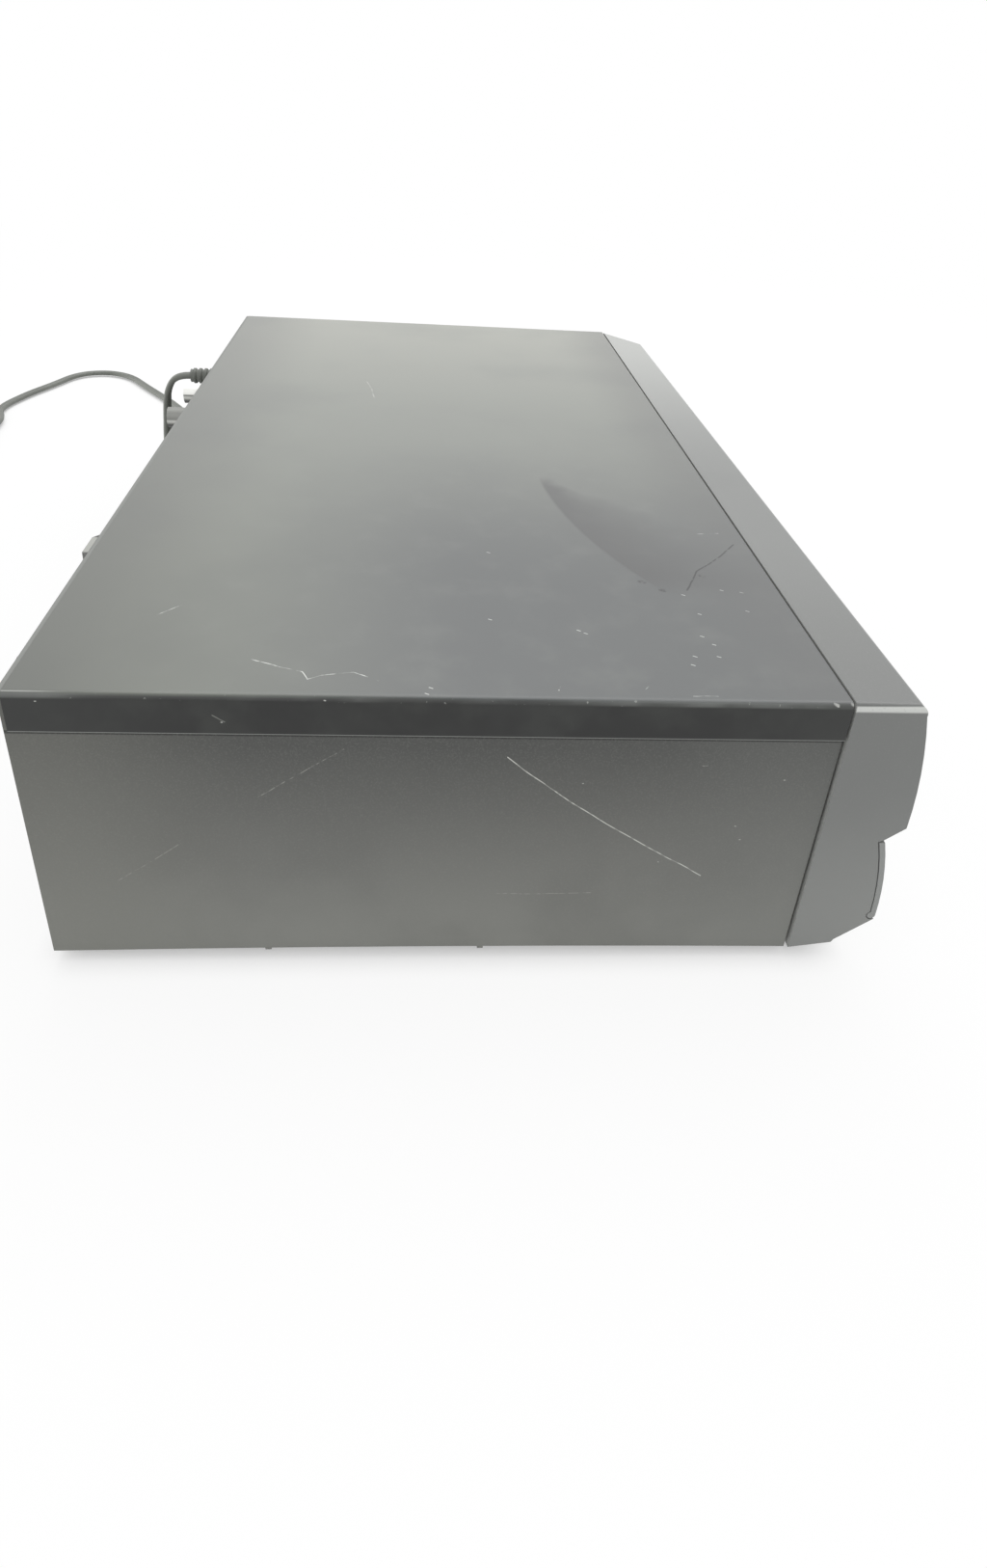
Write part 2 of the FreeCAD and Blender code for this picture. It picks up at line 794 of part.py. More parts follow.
def make_rear_jacks():
    """Two rows of phono sockets on one moulded block that fills the window in the back."""
    x0, x1 = jack_window_x[0] + 0.3, jack_window_x[1] - 0.3
    z0, z1 = jack_window_z[0] + 0.3, jack_window_z[1] - 0.3
    block = box(x0, x1, rear_y - 14, rear_y - 0.5, z0, z1)
    foot = box(x0 + 4, x1 - 4, rear_y - 16, rear_y - 12, board_z + board_thick, z1 - 2)
    barrels = []
    bores = []
    for n in range(4):
        x = rear_jack_x(n)
        z = (z0 + z1) / 2
        barrels.append(rod_y(x, rear_y - 2, rear_y + 8.0, z, jack_radius))
        bores.append(rod_y(x, rear_y - 4, rear_y + 9, z, jack_bore))
    return cut(join(block, foot, *barrels), *bores)


def rear_jack_x(n):
    return (jack_window_x[0] + jack_window_x[1]) / 2 + (n - 1.5) * jack_spacing


def make_front_jacks():
    """Three phono sockets that reach through the wall behind the flap-down door."""
    jacks = []
    for n in range(3):
        x = front_jack_x + n * jack_spacing
        z = foot_height + front_jack_height
        back = seam_y - control_board_reach + board_thick
        body = box(x - 6, x + 6, back, back + 8, z - 6, z + 6)
        barrel = rod_y(x, seam_y - recess_reach - 5.0, back, z, jack_radius)
        jacks.append(cut(join(body, barrel), rod_y(x, seam_y - recess_reach - 6, back, z, jack_bore)))
    return jacks


def make_strain_relief():
    """A rubber boot with soft ribs, a neck through the wall and a flange on both sides of it."""
    y = rear_y
    outline = [(0.0, y - wall - 2.0), (boot_neck + 1.6, y - wall - 2.0), (boot_neck + 1.6, y - wall - 0.1),
               (boot_neck, y - wall - 0.1), (boot_neck, y + 0.1), (boot_neck + 1.2, y + 0.1),
               (boot_neck + 1.2, y + 1.6), (boot_radius, y + 2.4)]
    pitch = (boot_length - 4.0) / boot_ribs
    groove = boot_radius - 1.0
    for n in range(boot_ribs):
        start = y + 3.0 + n * pitch
        outline += [(groove, start), (groove, start + 0.35 * pitch), (boot_radius, start + 0.5 * pitch),
                    (boot_radius, start + 0.85 * pitch)]
    outline += [(boot_radius - 0.6, y + boot_length), (0.0, y + boot_length)]
    face = polygon([V(r, at_y, 0) for r, at_y in outline])
    boot = face.revolve(V(0, 0, 0), V(0, 1, 0), 360)
    boot.translate(V(cord_exit_x, 0, cord_exit_z))
    return boot


# Boards, power supply and display


def drilled(board, places, radius):
    top = board_z + board_thick + 1
    return cut(board, *[post(x, seam_y + y, board_z - 1, top, radius) for x, y in places])


def make_main_board():
    top = board_z + board_thick
    board = box(board_x[0], board_x[1], seam_y + 12, seam_y + cover_depth - 7.3, board_z, top)
    board = drilled(board, board_bosses, screw_pilot + 0.4)
    board = drilled(board, deck_posts, deck_post_radius + 1.0)
    parts = [board]
    edge = board_x[1]
    blocks = [(edge - 46, 60, 18, 18, 3.5), (edge - 36, 100, 28, 12, 3.5), (edge - 21, 130, 14, 10, 8.0),
              (edge - 48, 128, 10, 10, 9.0), (deck_x + 45, 200, 20, 10, 6.0), (edge - 26, 30, 24, 8, 5.0)]
    for x, y, a, b, h in blocks:
        parts.append(box(x - a / 2, x + a / 2, seam_y + y - b / 2, seam_y + y + b / 2, top - 0.2, top + h))
    return join(*parts)


def make_power_board():
    top = board_z + board_thick
    x0 = power_board_x[0]
    board = box(x0, power_board_x[1], seam_y + 92, seam_y + 208, board_z, top)
    board = drilled(board, power_bosses, screw_pilot + 0.4)
    inlet = box(x0 + 22, x0 + 38, seam_y + 190, seam_y + 204, top - 0.2, top + 9)
    fuse = rod_x(x0 + 50, x0 + 70, seam_y + 192, top + 4.2, 2.6)
    clips = [box(x0 + x, x0 + x + 3, seam_y + 189, seam_y + 195, top - 0.2, top + 5) for x in (50, 67)]
    return join(board, inlet, fuse, *clips)


def make_transformer():
    """A laminated core round a wound bobbin."""
    base = board_z + board_thick
    x = power_board_x[0] + 50
    core = box(x - 22, x + 22, seam_y + 118, seam_y + 132, base, base + 36)
    coil = box(x - 14, x + 14, seam_y + 108, seam_y + 142, base + 8, base + 28)
    coil = coil.makeFillet(4.0, [e for e in coil.Edges if abs(e.BoundBox.ZLength - 20) < 0.01])
    return join(core, coil)


def make_heat_sink():
    """An extruded comb of fins on a back plate."""
    base = board_z + board_thick
    x = power_board_x[0] + 20
    plate = box(x, x + 3, seam_y + 145, seam_y + 183, base, base + 42)
    first = seam_y + 146
    fins = [box(x - 9.5, x + 0.5, first + n * 6, first + n * 6 + 1.4, base, base + 42) for n in range(7)]
    return join(plate, *fins)


def make_capacitors():
    base = board_z + board_thick
    return [post(power_board_x[0] + x, seam_y + y, base, base + h, r)
            for x, y, r, h in [(90, 118, 9, 32), (90, 142, 7, 25), (48, 162, 6, 20), (68, 164, 6, 20),
                               (86, 170, 5, 14)]]


control_board_x = (-half_width + 9.0, half_width - 37.0)


def make_control_board():
    """One upright board behind the bezel, cut away under the cassette slot."""
    front = seam_y - control_board_reach
    z0 = foot_height
    board = box(control_board_x[0], control_board_x[1], front, front + board_thick, z0 + 17, z0 + 87)
    slot_room = box(slot_x[0] - 5, slot_x[1] + 4, front - 1, front + board_thick + 1, z0 + 44, z0 + 88)
    jack_holes = [rod_y(front_jack_x + n * jack_spacing, front - 1, front + board_thick + 1,
                        z0 + front_jack_height, jack_radius + 0.3) for n in range(3)]
    board = cut(board, slot_room, *jack_holes)
    half = switch_side / 2
    parts = [board]
    for _, x, height, _, _ in front_buttons:
        z = z0 + height
        parts.append(box(x - half, x + half, front - switch_height + 1.5, front, z - half, z + half))
        parts.append(rod_y(x, front - switch_height, front, z, 1.7))
    return join(*parts)


def make_display_tube():
    front = seam_y - control_board_reach
    z0 = foot_height
    x0, x1 = window_x[0] + 12.0, window_x[1] - 12.0
    glass = box(x0, x1, front - 7, front - 0.1, z0 + window_low + 1, z0 + window_high - 1)
    tip = rod_x(x1, x1 + 4, front - 3.5, z0 + (window_low + window_high) / 2, 2.0)
    return join(glass, tip)


# Tape deck: places are measured from the deck's middle line and from the seam


def deck(x, y):
    return deck_x + x, seam_y + y


load_z = foot_height + load_height
tape_z = load_z + 13.0
wheel_z = chassis_top + 1.2
under_z = chassis_z - 0.7
arm_z = under_z - loading_gear_thick
cam_z = arm_z - 1.0 - loading_gear_thick
belt_z = board_z + board_thick + 7.4
loading_pitch = loading_teeth * tooth_module / 2
cam_pitch = cam_teeth * tooth_module / 2
cam_way = math.radians(125.0)
cam_place = (-loading_pitch + (loading_pitch + cam_pitch) * math.cos(cam_way),
             arm_pivot_y + (loading_pitch + cam_pitch) * math.sin(cam_way))
worm_x = cam_place[0] - cam_pitch - 0.9 * tooth_module - worm_gap - worm_radius
worm_z = cam_z + loading_gear_thick / 2
erase_place = (-64.0, 140.0)
audio_place = (64.0, 154.0)
tension_place = (-70.0, 104.0)
tension_length = 25.3
tension_angle = 18.4
pin_radius = 1.5
slot_half = 2.3
pinch_post_radius = 2.5


def sector(side, low_z, high_z):
    """The curved slot that a loading post travels in, rounded at both ends."""
    x, y = deck(side * loading_pitch, arm_pivot_y)
    start = math.radians(arm_start)
    stop = math.radians(arm_start + arm_swing)
    r0, r1 = arm_radius - slot_half, arm_radius + slot_half

    def place(radius, angle, ahead=0.0):
        px = radius * math.cos(angle) - ahead * math.sin(angle)
        py = radius * math.sin(angle) + ahead * math.cos(angle)
        return V(x + side * px, y + py, low_z)

    middle = (start + stop) / 2
    edges = [
        arc(place(r0, start), place(r0, middle), place(r0, stop)),
        arc(place(r0, stop), place(arm_radius, stop, slot_half), place(r1, stop)),
        arc(place(r1, stop), place(r1, middle), place(r1, start)),
        arc(place(r1, start), place(arm_radius, start, -slot_half), place(r0, start)),
    ]
    return Part.Face(Part.Wire(edges)).extrude(V(0, 0, high_z - low_z))


def make_deck_chassis():
    """A pressed plate with its slots, turned-up edge, fixed posts and bearing collars."""
    x0, y0 = deck(-chassis_half, chassis_front)
    x1, y1 = deck(chassis_half, chassis_back)
    plate = box(x0, x1, y0, y1, chassis_z, chassis_top)
    front_fold = box(x0 + 14, x1 - 14, y0, y0 + chassis_thick, chassis_z, chassis_top + 6)
    solids = [plate, front_fold]
    holes = [sector(side, chassis_z - 1, chassis_top + 1) for side in (-1, 1)]
    bearings = [(0.0, clutch_y, chassis_z - 4.0, chassis_top + 0.8, post_radius),
                (capstan_x, capstan_y, chassis_z - 4.0, chassis_top + 10.0, capstan_radius)]
    for x, y, z0, z1, radius in bearings:
        px, py = deck(x, y)
        solids.append(post(px, py, z0, z1, bearing_radius))
        holes.append(post(px, py, z0 - 1, z1 + 1, radius + bearing_clearance))
    for side in (-1, 1):
        solids.append(post(*deck(side * reel_spacing / 2, reel_y), chassis_z, load_z + 8.0, post_radius))
        solids.append(post(*deck(side * loading_pitch, arm_pivot_y), cam_z - 0.6, chassis_top, post_radius))
    solids.append(post(*deck(*cam_place), cam_z - 0.6, chassis_top, post_radius))
    solids.append(post(*deck(pinch_pivot_x, pinch_pivot_y), chassis_z, load_z + 4.0, pinch_post_radius))
    solids.append(post(*deck(*tension_place), chassis_z, load_z - 2.0, post_radius))
    body = cut(join(*solids), *holes)
    screws = [post(x, seam_y + y, chassis_z - 1, chassis_top + 1, screw_pilot + 0.4) for x, y in deck_posts]
    return cut(body, *screws)


def make_lower_drum():
    x, y = deck(0, drum_y)
    middle = tape_z
    base = post(x, y, chassis_top + 0.05, chassis_top + 2.0, drum_radius - 8)
    body = post(x, y, chassis_top + 1.5, middle - drum_gap / 2, drum_radius)
    lead = Part.makeTorus(drum_radius + 0.2, 0.9, V(x, y, middle - drum_half + 3))
    body = cut(join(base, body), lead)
    return cut(body, post(x, y, chassis_top - 1, middle, drum_shaft + bearing_clearance))


def make_upper_drum():
    x, y = deck(0, drum_y)
    middle = tape_z
    body = post(x, y, middle + drum_gap / 2, middle + drum_half, drum_radius)
    body = body.makeFillet(0.8, [e for e in body.Edges if e.BoundBox.ZMin > middle + drum_half - 0.01])
    rotor = post(x, y, middle + drum_half - 0.5, middle + drum_half + 4.0, drum_radius - 7)
    shaft = post(x, y, chassis_top + 1.0, middle + drum_half + 5.5, drum_shaft)
    windows = [box(x - 2.0, x + 2.0, y + s * (drum_radius - 1) - 1.2, y + s * (drum_radius - 1) + 1.2,
                   middle, middle + 2.4) for s in (-1, 1)]
    return cut(join(body, rotor, shaft), *windows)


def make_capstan():
    """A polished shaft with its flywheel and belt pulley."""
    x, y = deck(capstan_x, capstan_y)
    wheel_low = belt_z - flywheel_thick - 0.8
    shaft = post(x, y, wheel_low - 0.6, tape_z + 9.0, capstan_radius)
    wheel = post(x, y, wheel_low, wheel_low + flywheel_thick, flywheel_radius)
    hub = post(x, y, wheel_low, belt_z + belt_width + 0.6, capstan_pulley_radius - 1.5)
    pulley = post(x, y, belt_z - 0.1, belt_z + belt_width + 0.1, capstan_pulley_radius)
    return join(shaft, wheel, hub, pulley)


def make_capstan_motor():
    """The flat stator plate under the flywheel, hung from the chassis on three pillars."""
    x, y = deck(capstan_x, capstan_y)
    low = board_z + board_thick + 0.6
    plate = post(x, y, low, low + 1.0, flywheel_radius + 2)
    pillars = []
    for degrees in (-60, 0, 60):
        angle = math.radians(degrees)
        reach = flywheel_radius + 4
        px, py = x + reach * math.cos(angle), y + reach * math.sin(angle)
        pillars.append(post(px, py, low, chassis_z, 2.5))
    return join(plate, *pillars)


def make_clutch():
    """Belt pulley under the deck and drive wheel above it, on one shaft."""
    x, y = deck(0, clutch_y)
    shaft = post(x, y, belt_z - 0.5, wheel_z + wheel_thick + 4.0, post_radius)
    pulley = post(x, y, belt_z - 0.1, belt_z + belt_width + 0.1, clutch_pulley_radius)
    wheel = post(x, y, wheel_z, wheel_z + wheel_thick, clutch_wheel)
    return join(shaft, pulley, wheel)


def belt_outline(r0, r1, z):
    """The outline of a belt round two wheels of different size, from its two tangent lines."""
    x0, y0 = deck(0, clutch_y)
    x1, y1 = deck(capstan_x, capstan_y)
    along = math.atan2(y1 - y0, x1 - x0)
    spread = math.acos((r0 - r1) / math.hypot(x1 - x0, y1 - y0))

    def on(x, y, radius, angle):
        return V(x + radius * math.cos(angle), y + radius * math.sin(angle), z)

    a, b = along + spread, along - spread
    return Part.Wire([
        line(on(x0, y0, r0, a), on(x1, y1, r1, a)),
        arc(on(x1, y1, r1, a), on(x1, y1, r1, along), on(x1, y1, r1, b)),
        line(on(x1, y1, r1, b), on(x0, y0, r0, b)),
        arc(on(x0, y0, r0, b), on(x0, y0, r0, along + math.pi), on(x0, y0, r0, a)),
    ])


def make_reel_belt():
    inner = (clutch_pulley_radius + belt_gap, capstan_pulley_radius + belt_gap)
    outer = (inner[0] + belt_thick, inner[1] + belt_thick)
    solids = [Part.Face(belt_outline(r0, r1, belt_z)).extrude(V(0, 0, belt_width))
              for r0, r1 in (outer, inner)]
    return solids[0].cut(solids[1])


def make_idler_arm():
    """A lever on the clutch shaft that carries the idler wheel on a pin."""
    x, y = deck(0, clutch_y)
    low = wheel_z + wheel_thick + 0.6
    bar = box(x - 4, x + 4, y - idler_arm_length, y, low, low + 1.2)
    ends = [post(x, y, low, low + 1.2, 5.0), post(x, y - idler_arm_length, low, low + 1.2, 4.0)]
    pin = post(x, y - idler_arm_length, wheel_z - 0.3, low + 0.5, pin_radius)
    lever = join(bar, *(ends + [pin]))
    return cut(lever, post(x, y, low - 1, low + 3, post_radius + bearing_clearance))


def make_idler_wheel():
    x, y = deck(0, clutch_y - idler_arm_length)
    wheel = post(x, y, wheel_z, wheel_z + wheel_thick - 0.3, idler_radius)
    groove = post(x, y, wheel_z + wheel_thick - 1.3, wheel_z + wheel_thick, idler_radius - 2).cut(
        post(x, y, wheel_z + wheel_thick - 1.3, wheel_z + wheel_thick, 4.0))
    bore = post(x, y, wheel_z - 1, wheel_z + wheel_thick + 1, pin_radius + bearing_clearance)
    return cut(wheel, groove, bore)


def make_reel(side):
    """A reel table: rim, hub and a spindle with three drive fins, bored for its post."""
    x, y = deck(side * reel_spacing / 2, reel_y)
    rim = post(x, y, wheel_z, wheel_z + wheel_thick, reel_rim)
    hub = post(x, y, wheel_z, load_z - 1.5, reel_hub)
    spindle = Part.makeCone(spindle_radius, spindle_radius - 1.2, 12.0, V(x, y, load_z - 2))
    fins = []
    for n in range(3):
        fin = box(x, x + spindle_radius + 1.4, y - 0.8, y + 0.8, load_z - 2, load_z + 7)
        fin.rotate(V(x, y, 0), V(0, 0, 1), 120 * n)
        fins.append(fin)
    bore = post(x, y, wheel_z - 1, load_z + 8.3, post_radius + bearing_clearance)
    return cut(join(rim, hub, spindle, *fins), bore)


def make_pinch_arm():
    x, y = deck(pinch_pivot_x, pinch_pivot_y)
    rx, ry = pinch_rest()
    low = load_z - 1.0
    sleeve = post(x, y, chassis_top + 0.4, low + 2.5, pinch_post_radius + 2.2)
    length = math.hypot(rx - x, ry - y)
    bar = box(x, x + length, y - 2.0, y + 2.0, low, low + 2.0)
    bar.rotate(V(x, y, 0), V(0, 0, 1), math.degrees(math.atan2(ry - y, rx - x)))
    pin = post(rx, ry, low, tape_z + 9.0, pin_radius)
    lever = join(sleeve, bar, post(rx, ry, low, low + 2.0, 4.0), pin)
    return cut(lever, post(x, y, chassis_top, low + 4, pinch_post_radius + bearing_clearance))


def pinch_rest():
    """The roller's place at rest: its place against the capstan, swung away about the arm's pivot."""
    px, py = deck(pinch_pivot_x, pinch_pivot_y)
    cx, cy = deck(capstan_x, capstan_y)
    reach = capstan_radius + pinch_radius + rubber_gap
    touch = V(cx - 0.18 * reach, cy - 0.984 * reach, 0)
    swung = touch - V(px, py, 0)
    angle = math.radians(pinch_swing)
    return (px + swung.x * math.cos(angle) - swung.y * math.sin(angle),
            py + swung.x * math.sin(angle) + swung.y * math.cos(angle))


def make_pinch_roller():
    rx, ry = pinch_rest()
    low = load_z + 1.6
    roller = post(rx, ry, low, tape_z + 8.0, pinch_radius)
    return cut(roller, post(rx, ry, low - 1, tape_z + 9, pin_radius + bearing_clearance))


def make_loading_arm(side):
    """A loading gear under the deck with its lever, guide post and guide roller."""
    x, y = deck(side * loading_pitch, arm_pivot_y)
    angle = math.radians(arm_start)
    px = x + side * arm_radius * math.cos(angle)
    py = y + arm_radius * math.sin(angle)
    low = cam_z if side < 0 else arm_z
    turn = 0.0 if side < 0 else meshing_turn(0.0, loading_teeth)
    wheel = gear(x, y, low, arm_z + loading_gear_thick - low, loading_teeth, turn)
    bar = box(x, x + arm_radius, y - 3.5, y + 3.5, arm_z, arm_z + loading_gear_thick)
    bar.rotate(V(x, y, 0), V(0, 0, 1), math.degrees(math.atan2(py - y, px - x)))
    stem = post(px, py, arm_z, chassis_top + 1.0, slot_half - 0.4)
    shoe = post(px, py, chassis_top + 0.3, chassis_top + 3.6, 6.0)
    pin = post(px, py, chassis_top, tape_z + 10.0, pin_radius)
    roller = post(px, py, tape_z - 8.0, tape_z + 8.0, guide_roller)
    end = post(px, py, arm_z, arm_z + loading_gear_thick, 4.5)
    lever = join(wheel, bar, end, stem, shoe, pin, roller)
    return cut(lever, post(x, y, cam_z - 1, arm_z + 4, post_radius + bearing_clearance))


def meshing_turn(way, teeth):
    """The turn of a gear whose teeth stand in the gaps of a loading gear it lies beside."""
    share = (way * loading_teeth / (2 * math.pi)) % 1
    return way + math.pi - (0.5 - share) * 2 * math.pi / teeth


def make_cam_gear():
    x, y = deck(*cam_place)
    wheel = gear(x, y, cam_z, loading_gear_thick, cam_teeth, meshing_turn(cam_way, cam_teeth))
    track = post(x, y, cam_z - 0.1, cam_z + 1.2, cam_pitch - 4)
    track = track.cut(post(x, y, cam_z - 1, cam_z + 2, cam_pitch - 7))
    return cut(wheel, track, post(x, y, cam_z - 1, cam_z + 4, post_radius + bearing_clearance))


worm_span = (-11.0, 11.0)
motor_radius = 5.8
motor_length = 20.0


def make_worm():
    x, y = deck(worm_x, cam_place[1])
    worm = rod_y(x, y + worm_span[0], y + worm_span[1], worm_z, worm_radius)
    grooves = []
    for n in range(6):
        middle = y - 7.5 + 3.0 * n
        ring = rod_y(x, middle - 0.6, middle + 0.6, worm_z, worm_radius + 1)
        grooves.append(ring.cut(rod_y(x, middle - 1, middle + 1, worm_z, worm_radius - 1.0)))
    shaft = rod_y(x, y + worm_span[1] - 1, y + worm_span[1] + 5, worm_z, 1.0)
    return join(cut(worm, *grooves), shaft)


def make_loading_motor():
    x, y = deck(worm_x, cam_place[1])
    front = y + worm_span[1] + 1.5
    can = rod_y(x, front, front + motor_length, worm_z, motor_radius)
    nose = rod_y(x, front - 1.0, front, worm_z, 2.5)
    bracket = box(x - 8, x + 8, front + 2, front + 12, worm_z, chassis_z - 0.02)
    hole = rod_y(x, front - 2, y + worm_span[1] + 5.3, worm_z, 1.0 + bearing_clearance)
    return cut(join(can, nose, bracket), hole)


def make_head(place, facing, width):
    """A tape head on its post: the rounded face looks towards the tape."""
    x, y = deck(*place)
    low = tape_z - 8.0
    body = box(x - width / 2, x + width / 2, y - 5, y + 5, low, low + 16)
    side = x + facing * width / 2
    edges = [e for e in body.Edges
             if abs(e.BoundBox.ZLength - 16) < 0.01 and abs(e.BoundBox.XMin - side) < 0.01]
    body = body.makeFillet(3.0, edges)
    foot = box(x - 6, x + 6, y - 6, y + 6, low - 3, low)
    return join(body, foot, post(x, y, chassis_top + 0.02, low - 2, 2.5))


def make_tension_arm():
    x, y = deck(*tension_place)
    low = load_z - 5.0
    bar = box(x, x + tension_length, y - 2.5, y + 2.5, low, low + 1.6)
    tip = post(x + tension_length, y, low, tape_z + 9, 2.0)
    sleeve = post(x, y, chassis_top + 0.4, low + 1.6, post_radius + 1.8)
    lever = join(bar, tip, sleeve)
    lever.rotate(V(x, y, 0), V(0, 0, 1), tension_angle)
    return cut(lever, post(x, y, chassis_top, low + 3, post_radius + bearing_clearance))


# Cassette carriage

basket_low = load_z + lift
basket_inner = cassette_width / 2 + basket_clearance
basket_outer = basket_inner + basket_sheet
basket_top = basket_low + cassette_thick + 0.8
basket_pin_z = basket_low + 8.5
basket_pins = (basket_front + 12.0, basket_front + basket_depth - 14.0)
slider_x = basket_outer + slider_gap
slider_pins = (basket_front + 8.0, basket_front + basket_depth - 10.0)
slider_pin_z = foot_height + guide_low
frame_x = slider_x + slider_thick + frame_gap
strap_gap = 0.6


def make_basket():
    """The folded sheet holder: roof, two sides and the rails that the cassette rests on."""
    y0, y1 = seam_y + basket_front, seam_y + basket_front + basket_depth
    x0, x1 = deck_x - basket_outer, deck_x + basket_outer
    solids = [box(x0, x1, y0, y1, basket_top, basket_top + basket_sheet)]
    for side in (-1, 1):
        xs = sorted((deck_x + side * basket_inner, deck_x + side * basket_outer))
        solids.append(box(xs[0], xs[1], y0, y1, basket_low - basket_sheet, basket_top + basket_sheet / 2))
        xs = sorted((deck_x + side * (basket_inner - rail_width), deck_x + side * basket_outer))
        solids.append(box(xs[0], xs[1], y0, y1, basket_low - basket_sheet, basket_low))
        for y in basket_pins:
            start = deck_x + side * basket_inner
            end = deck_x + side * (slider_x + slider_thick + 0.5)
            solids.append(rod_x(min(start, end), max(start, end), seam_y + y, basket_pin_z, slider_pin))
    window = box(deck_x - 60, deck_x + 60, y0 + 18, y1 - 12, basket_top - 1, basket_top + 3)
    return cut(join(*solids), window)


def make_slider():
    """Two upright plates joined by a strap over the basket; the basket's pins drop in their slots."""
    y0, y1 = seam_y + basket_front + 4, seam_y + basket_front + basket_depth - 4
    strap_z = basket_top + basket_sheet + strap_gap
    room = slider_pin + pin_clearance
    solids = []
    slots = []
    for side in (-1, 1):
        xs = sorted((deck_x + side * slider_x, deck_x + side * (slider_x + slider_thick)))
        solids.append(box(xs[0], xs[1], y0, y1, basket_pin_z - lift - 4, strap_z + 1.0))
        for y in basket_pins:
            slots.append(box(xs[0] - 1, xs[1] + 1, seam_y + y - room, seam_y + y + room,
                             basket_pin_z - lift - room, basket_pin_z + room))
        for y in slider_pins:
            start = deck_x + side * (slider_x + slider_thick - 0.5)
            end = deck_x + side * (frame_x + frame_thick)
            solids.append(rod_x(min(start, end), max(start, end), seam_y + y, slider_pin_z, slider_pin))
    half = slider_x + slider_thick
    solids.append(box(deck_x - half, deck_x + half, y0 + 22, y0 + 34, strap_z, strap_z + 1.0))
    return cut(join(*solids), *slots)


def make_side_frames():
    frames = []
    room = slider_pin + pin_clearance
    for side in (-1, 1):
        x0, x1 = sorted((deck_x + side * frame_x, deck_x + side * (frame_x + frame_thick)))
        y0, y1 = seam_y + slider_pins[0] - room, seam_y + slider_pins[1] + travel + room
        plate = box(x0, x1, seam_y + 8, seam_y + 140, chassis_top + 0.02, slider_pin_z + 6)
        track = box(x0 - 1, x1 + 1, y0, y1, slider_pin_z - room, slider_pin_z + room)
        window = box(x0 - 1, x1 + 1, seam_y + 22, seam_y + 126, chassis_top + 12, slider_pin_z - 8)
        frames.append(cut(plate, track, window))
    return frames


# Power cord, its coil, its tie and its plug

cord_radius = cord_diameter / 2
cord_points = [
    V(cord_exit_x, rear_y + boot_length, cord_exit_z),
    V(129.5, 143.5, 81.0),
    V(129.5, 148.9, 73.0),
    V(130.0, 150.4, 62.0),
    V(130.5, 151.3, 49.0),
    V(132.0, 152.3, 35.0),
    V(137.0, 153.3, 21.0),
    V(150.0, 154.2, 9.0),
    V(168.0, 153.5, 2.8),
    V(195.0, 153.5, 2.8),
    V(235.0, 157.0, 2.8),
    V(275.0, 167.0, 2.8),
    V(310.0, 182.0, 2.8),
    V(337.1, 198.3, 2.8),
    V(372.1, 223.6, 2.8),
    V(399.9, 241.8, 2.8),
    V(409.8, 262.8, 2.8),
    V(400.3, 284.3, 2.8),
    V(368.0, 294.2, 2.8),
    V(342.2, 304.4, 2.8),
    V(303.9, 313.3, 2.8),
    V(281.0, 303.2, 3.3),
    V(263.0, 301.0, 3.9),
    V(248.0, 301.0, 3.9),
]
coil_x = 242.0
coil_outer = 41.0
coil_turns = 2.5
coil_pitch = 6.2
coil_inner = coil_outer - coil_turns * coil_pitch
coil_low = 3.9
coil_rise = 6.1
coil_pull = 1.4
coil_y = cord_points[-1].y + coil_outer
coil_tail = 30.0
plug_z = coil_low + coil_rise
plug_neck = 16.0
plug_length = 32.0
plug_width = 22.0
plug_grip = 1.0
blade_length = 16.0
blade_width = 6.3
blade_thick = 1.5
blade_spacing = 12.7
tie_width = 6.0
tie_thick = 0.8
tie_gap = 0.3


def bend(start, corner, end):
    """The arc that touches the line from start to corner and the line from corner to end."""
    middle = (start + end) * 0.5
    half_chord = (end - start).Length / 2
    half_turn = math.acos(min(1.0, half_chord / (corner - start).Length))
    outward = corner - middle
    outward.normalize()
    return arc(start, middle + outward * (half_chord * math.tan(half_turn / 2)), end)


def rounded_path(points):
    """Straight runs between the points, joined by arcs that touch both; also the least radius."""
    edges = []
    radii = []
    last = points[0]
    for before, corner, after in zip(points, points[1:], points[2:]):
        share = 0.45 * min((corner - before).Length, (after - corner).Length)
        ahead = (corner - before).normalize()
        away = (after - corner).normalize()
        half_turn = ahead.getAngle(away) / 2
        radii.append(share / math.tan(half_turn))
        start = corner - ahead * share
        end = corner + away * share
        edges.append(line(last, start))
        edges.append(bend(start, corner, end))
        last = end
    edges.append(line(last, points[-1]))
    return edges, radii


def biarc(start, start_way, end, end_way):
    """Two arcs that join two points and have the given directions there."""
    span = end - start
    both = start_way + end_way
    spread = 2 * (1 - start_way.dot(end_way))
    along = span.dot(both)
    reach = (-along + math.sqrt(along**2 + 2 * spread * span.dot(span) / 2)) / spread
    joint = (start + end + (start_way - end_way) * reach) * 0.5
    return [bend(start, start + start_way * reach, joint), bend(joint, end - end_way * reach, end)]


def coil_place(turn):
    """The cord's middle after so many turns, clockwise from the side nearest the case."""
    if turn <= coil_turns:
        radius, height = coil_outer - turn * coil_pitch, coil_low
    elif turn <= coil_turns + 0.5:
        share = (turn - coil_turns) * 2
        radius = coil_inner - coil_pull * math.sin(math.pi * share)
        height = coil_low + coil_rise * (1 - math.cos(math.pi * share)) / 2
    else:
        radius, height = coil_inner + (turn - coil_turns - 0.5) * coil_pitch, coil_low + coil_rise
    angle = -math.pi / 2 - 2 * math.pi * turn
    return V(coil_x + radius * math.cos(angle), coil_y + radius * math.sin(angle), height)


def coil_way(turn):
    step = 0.002
    way = coil_place(turn + step) - coil_place(turn - step)
    return way.normalize()


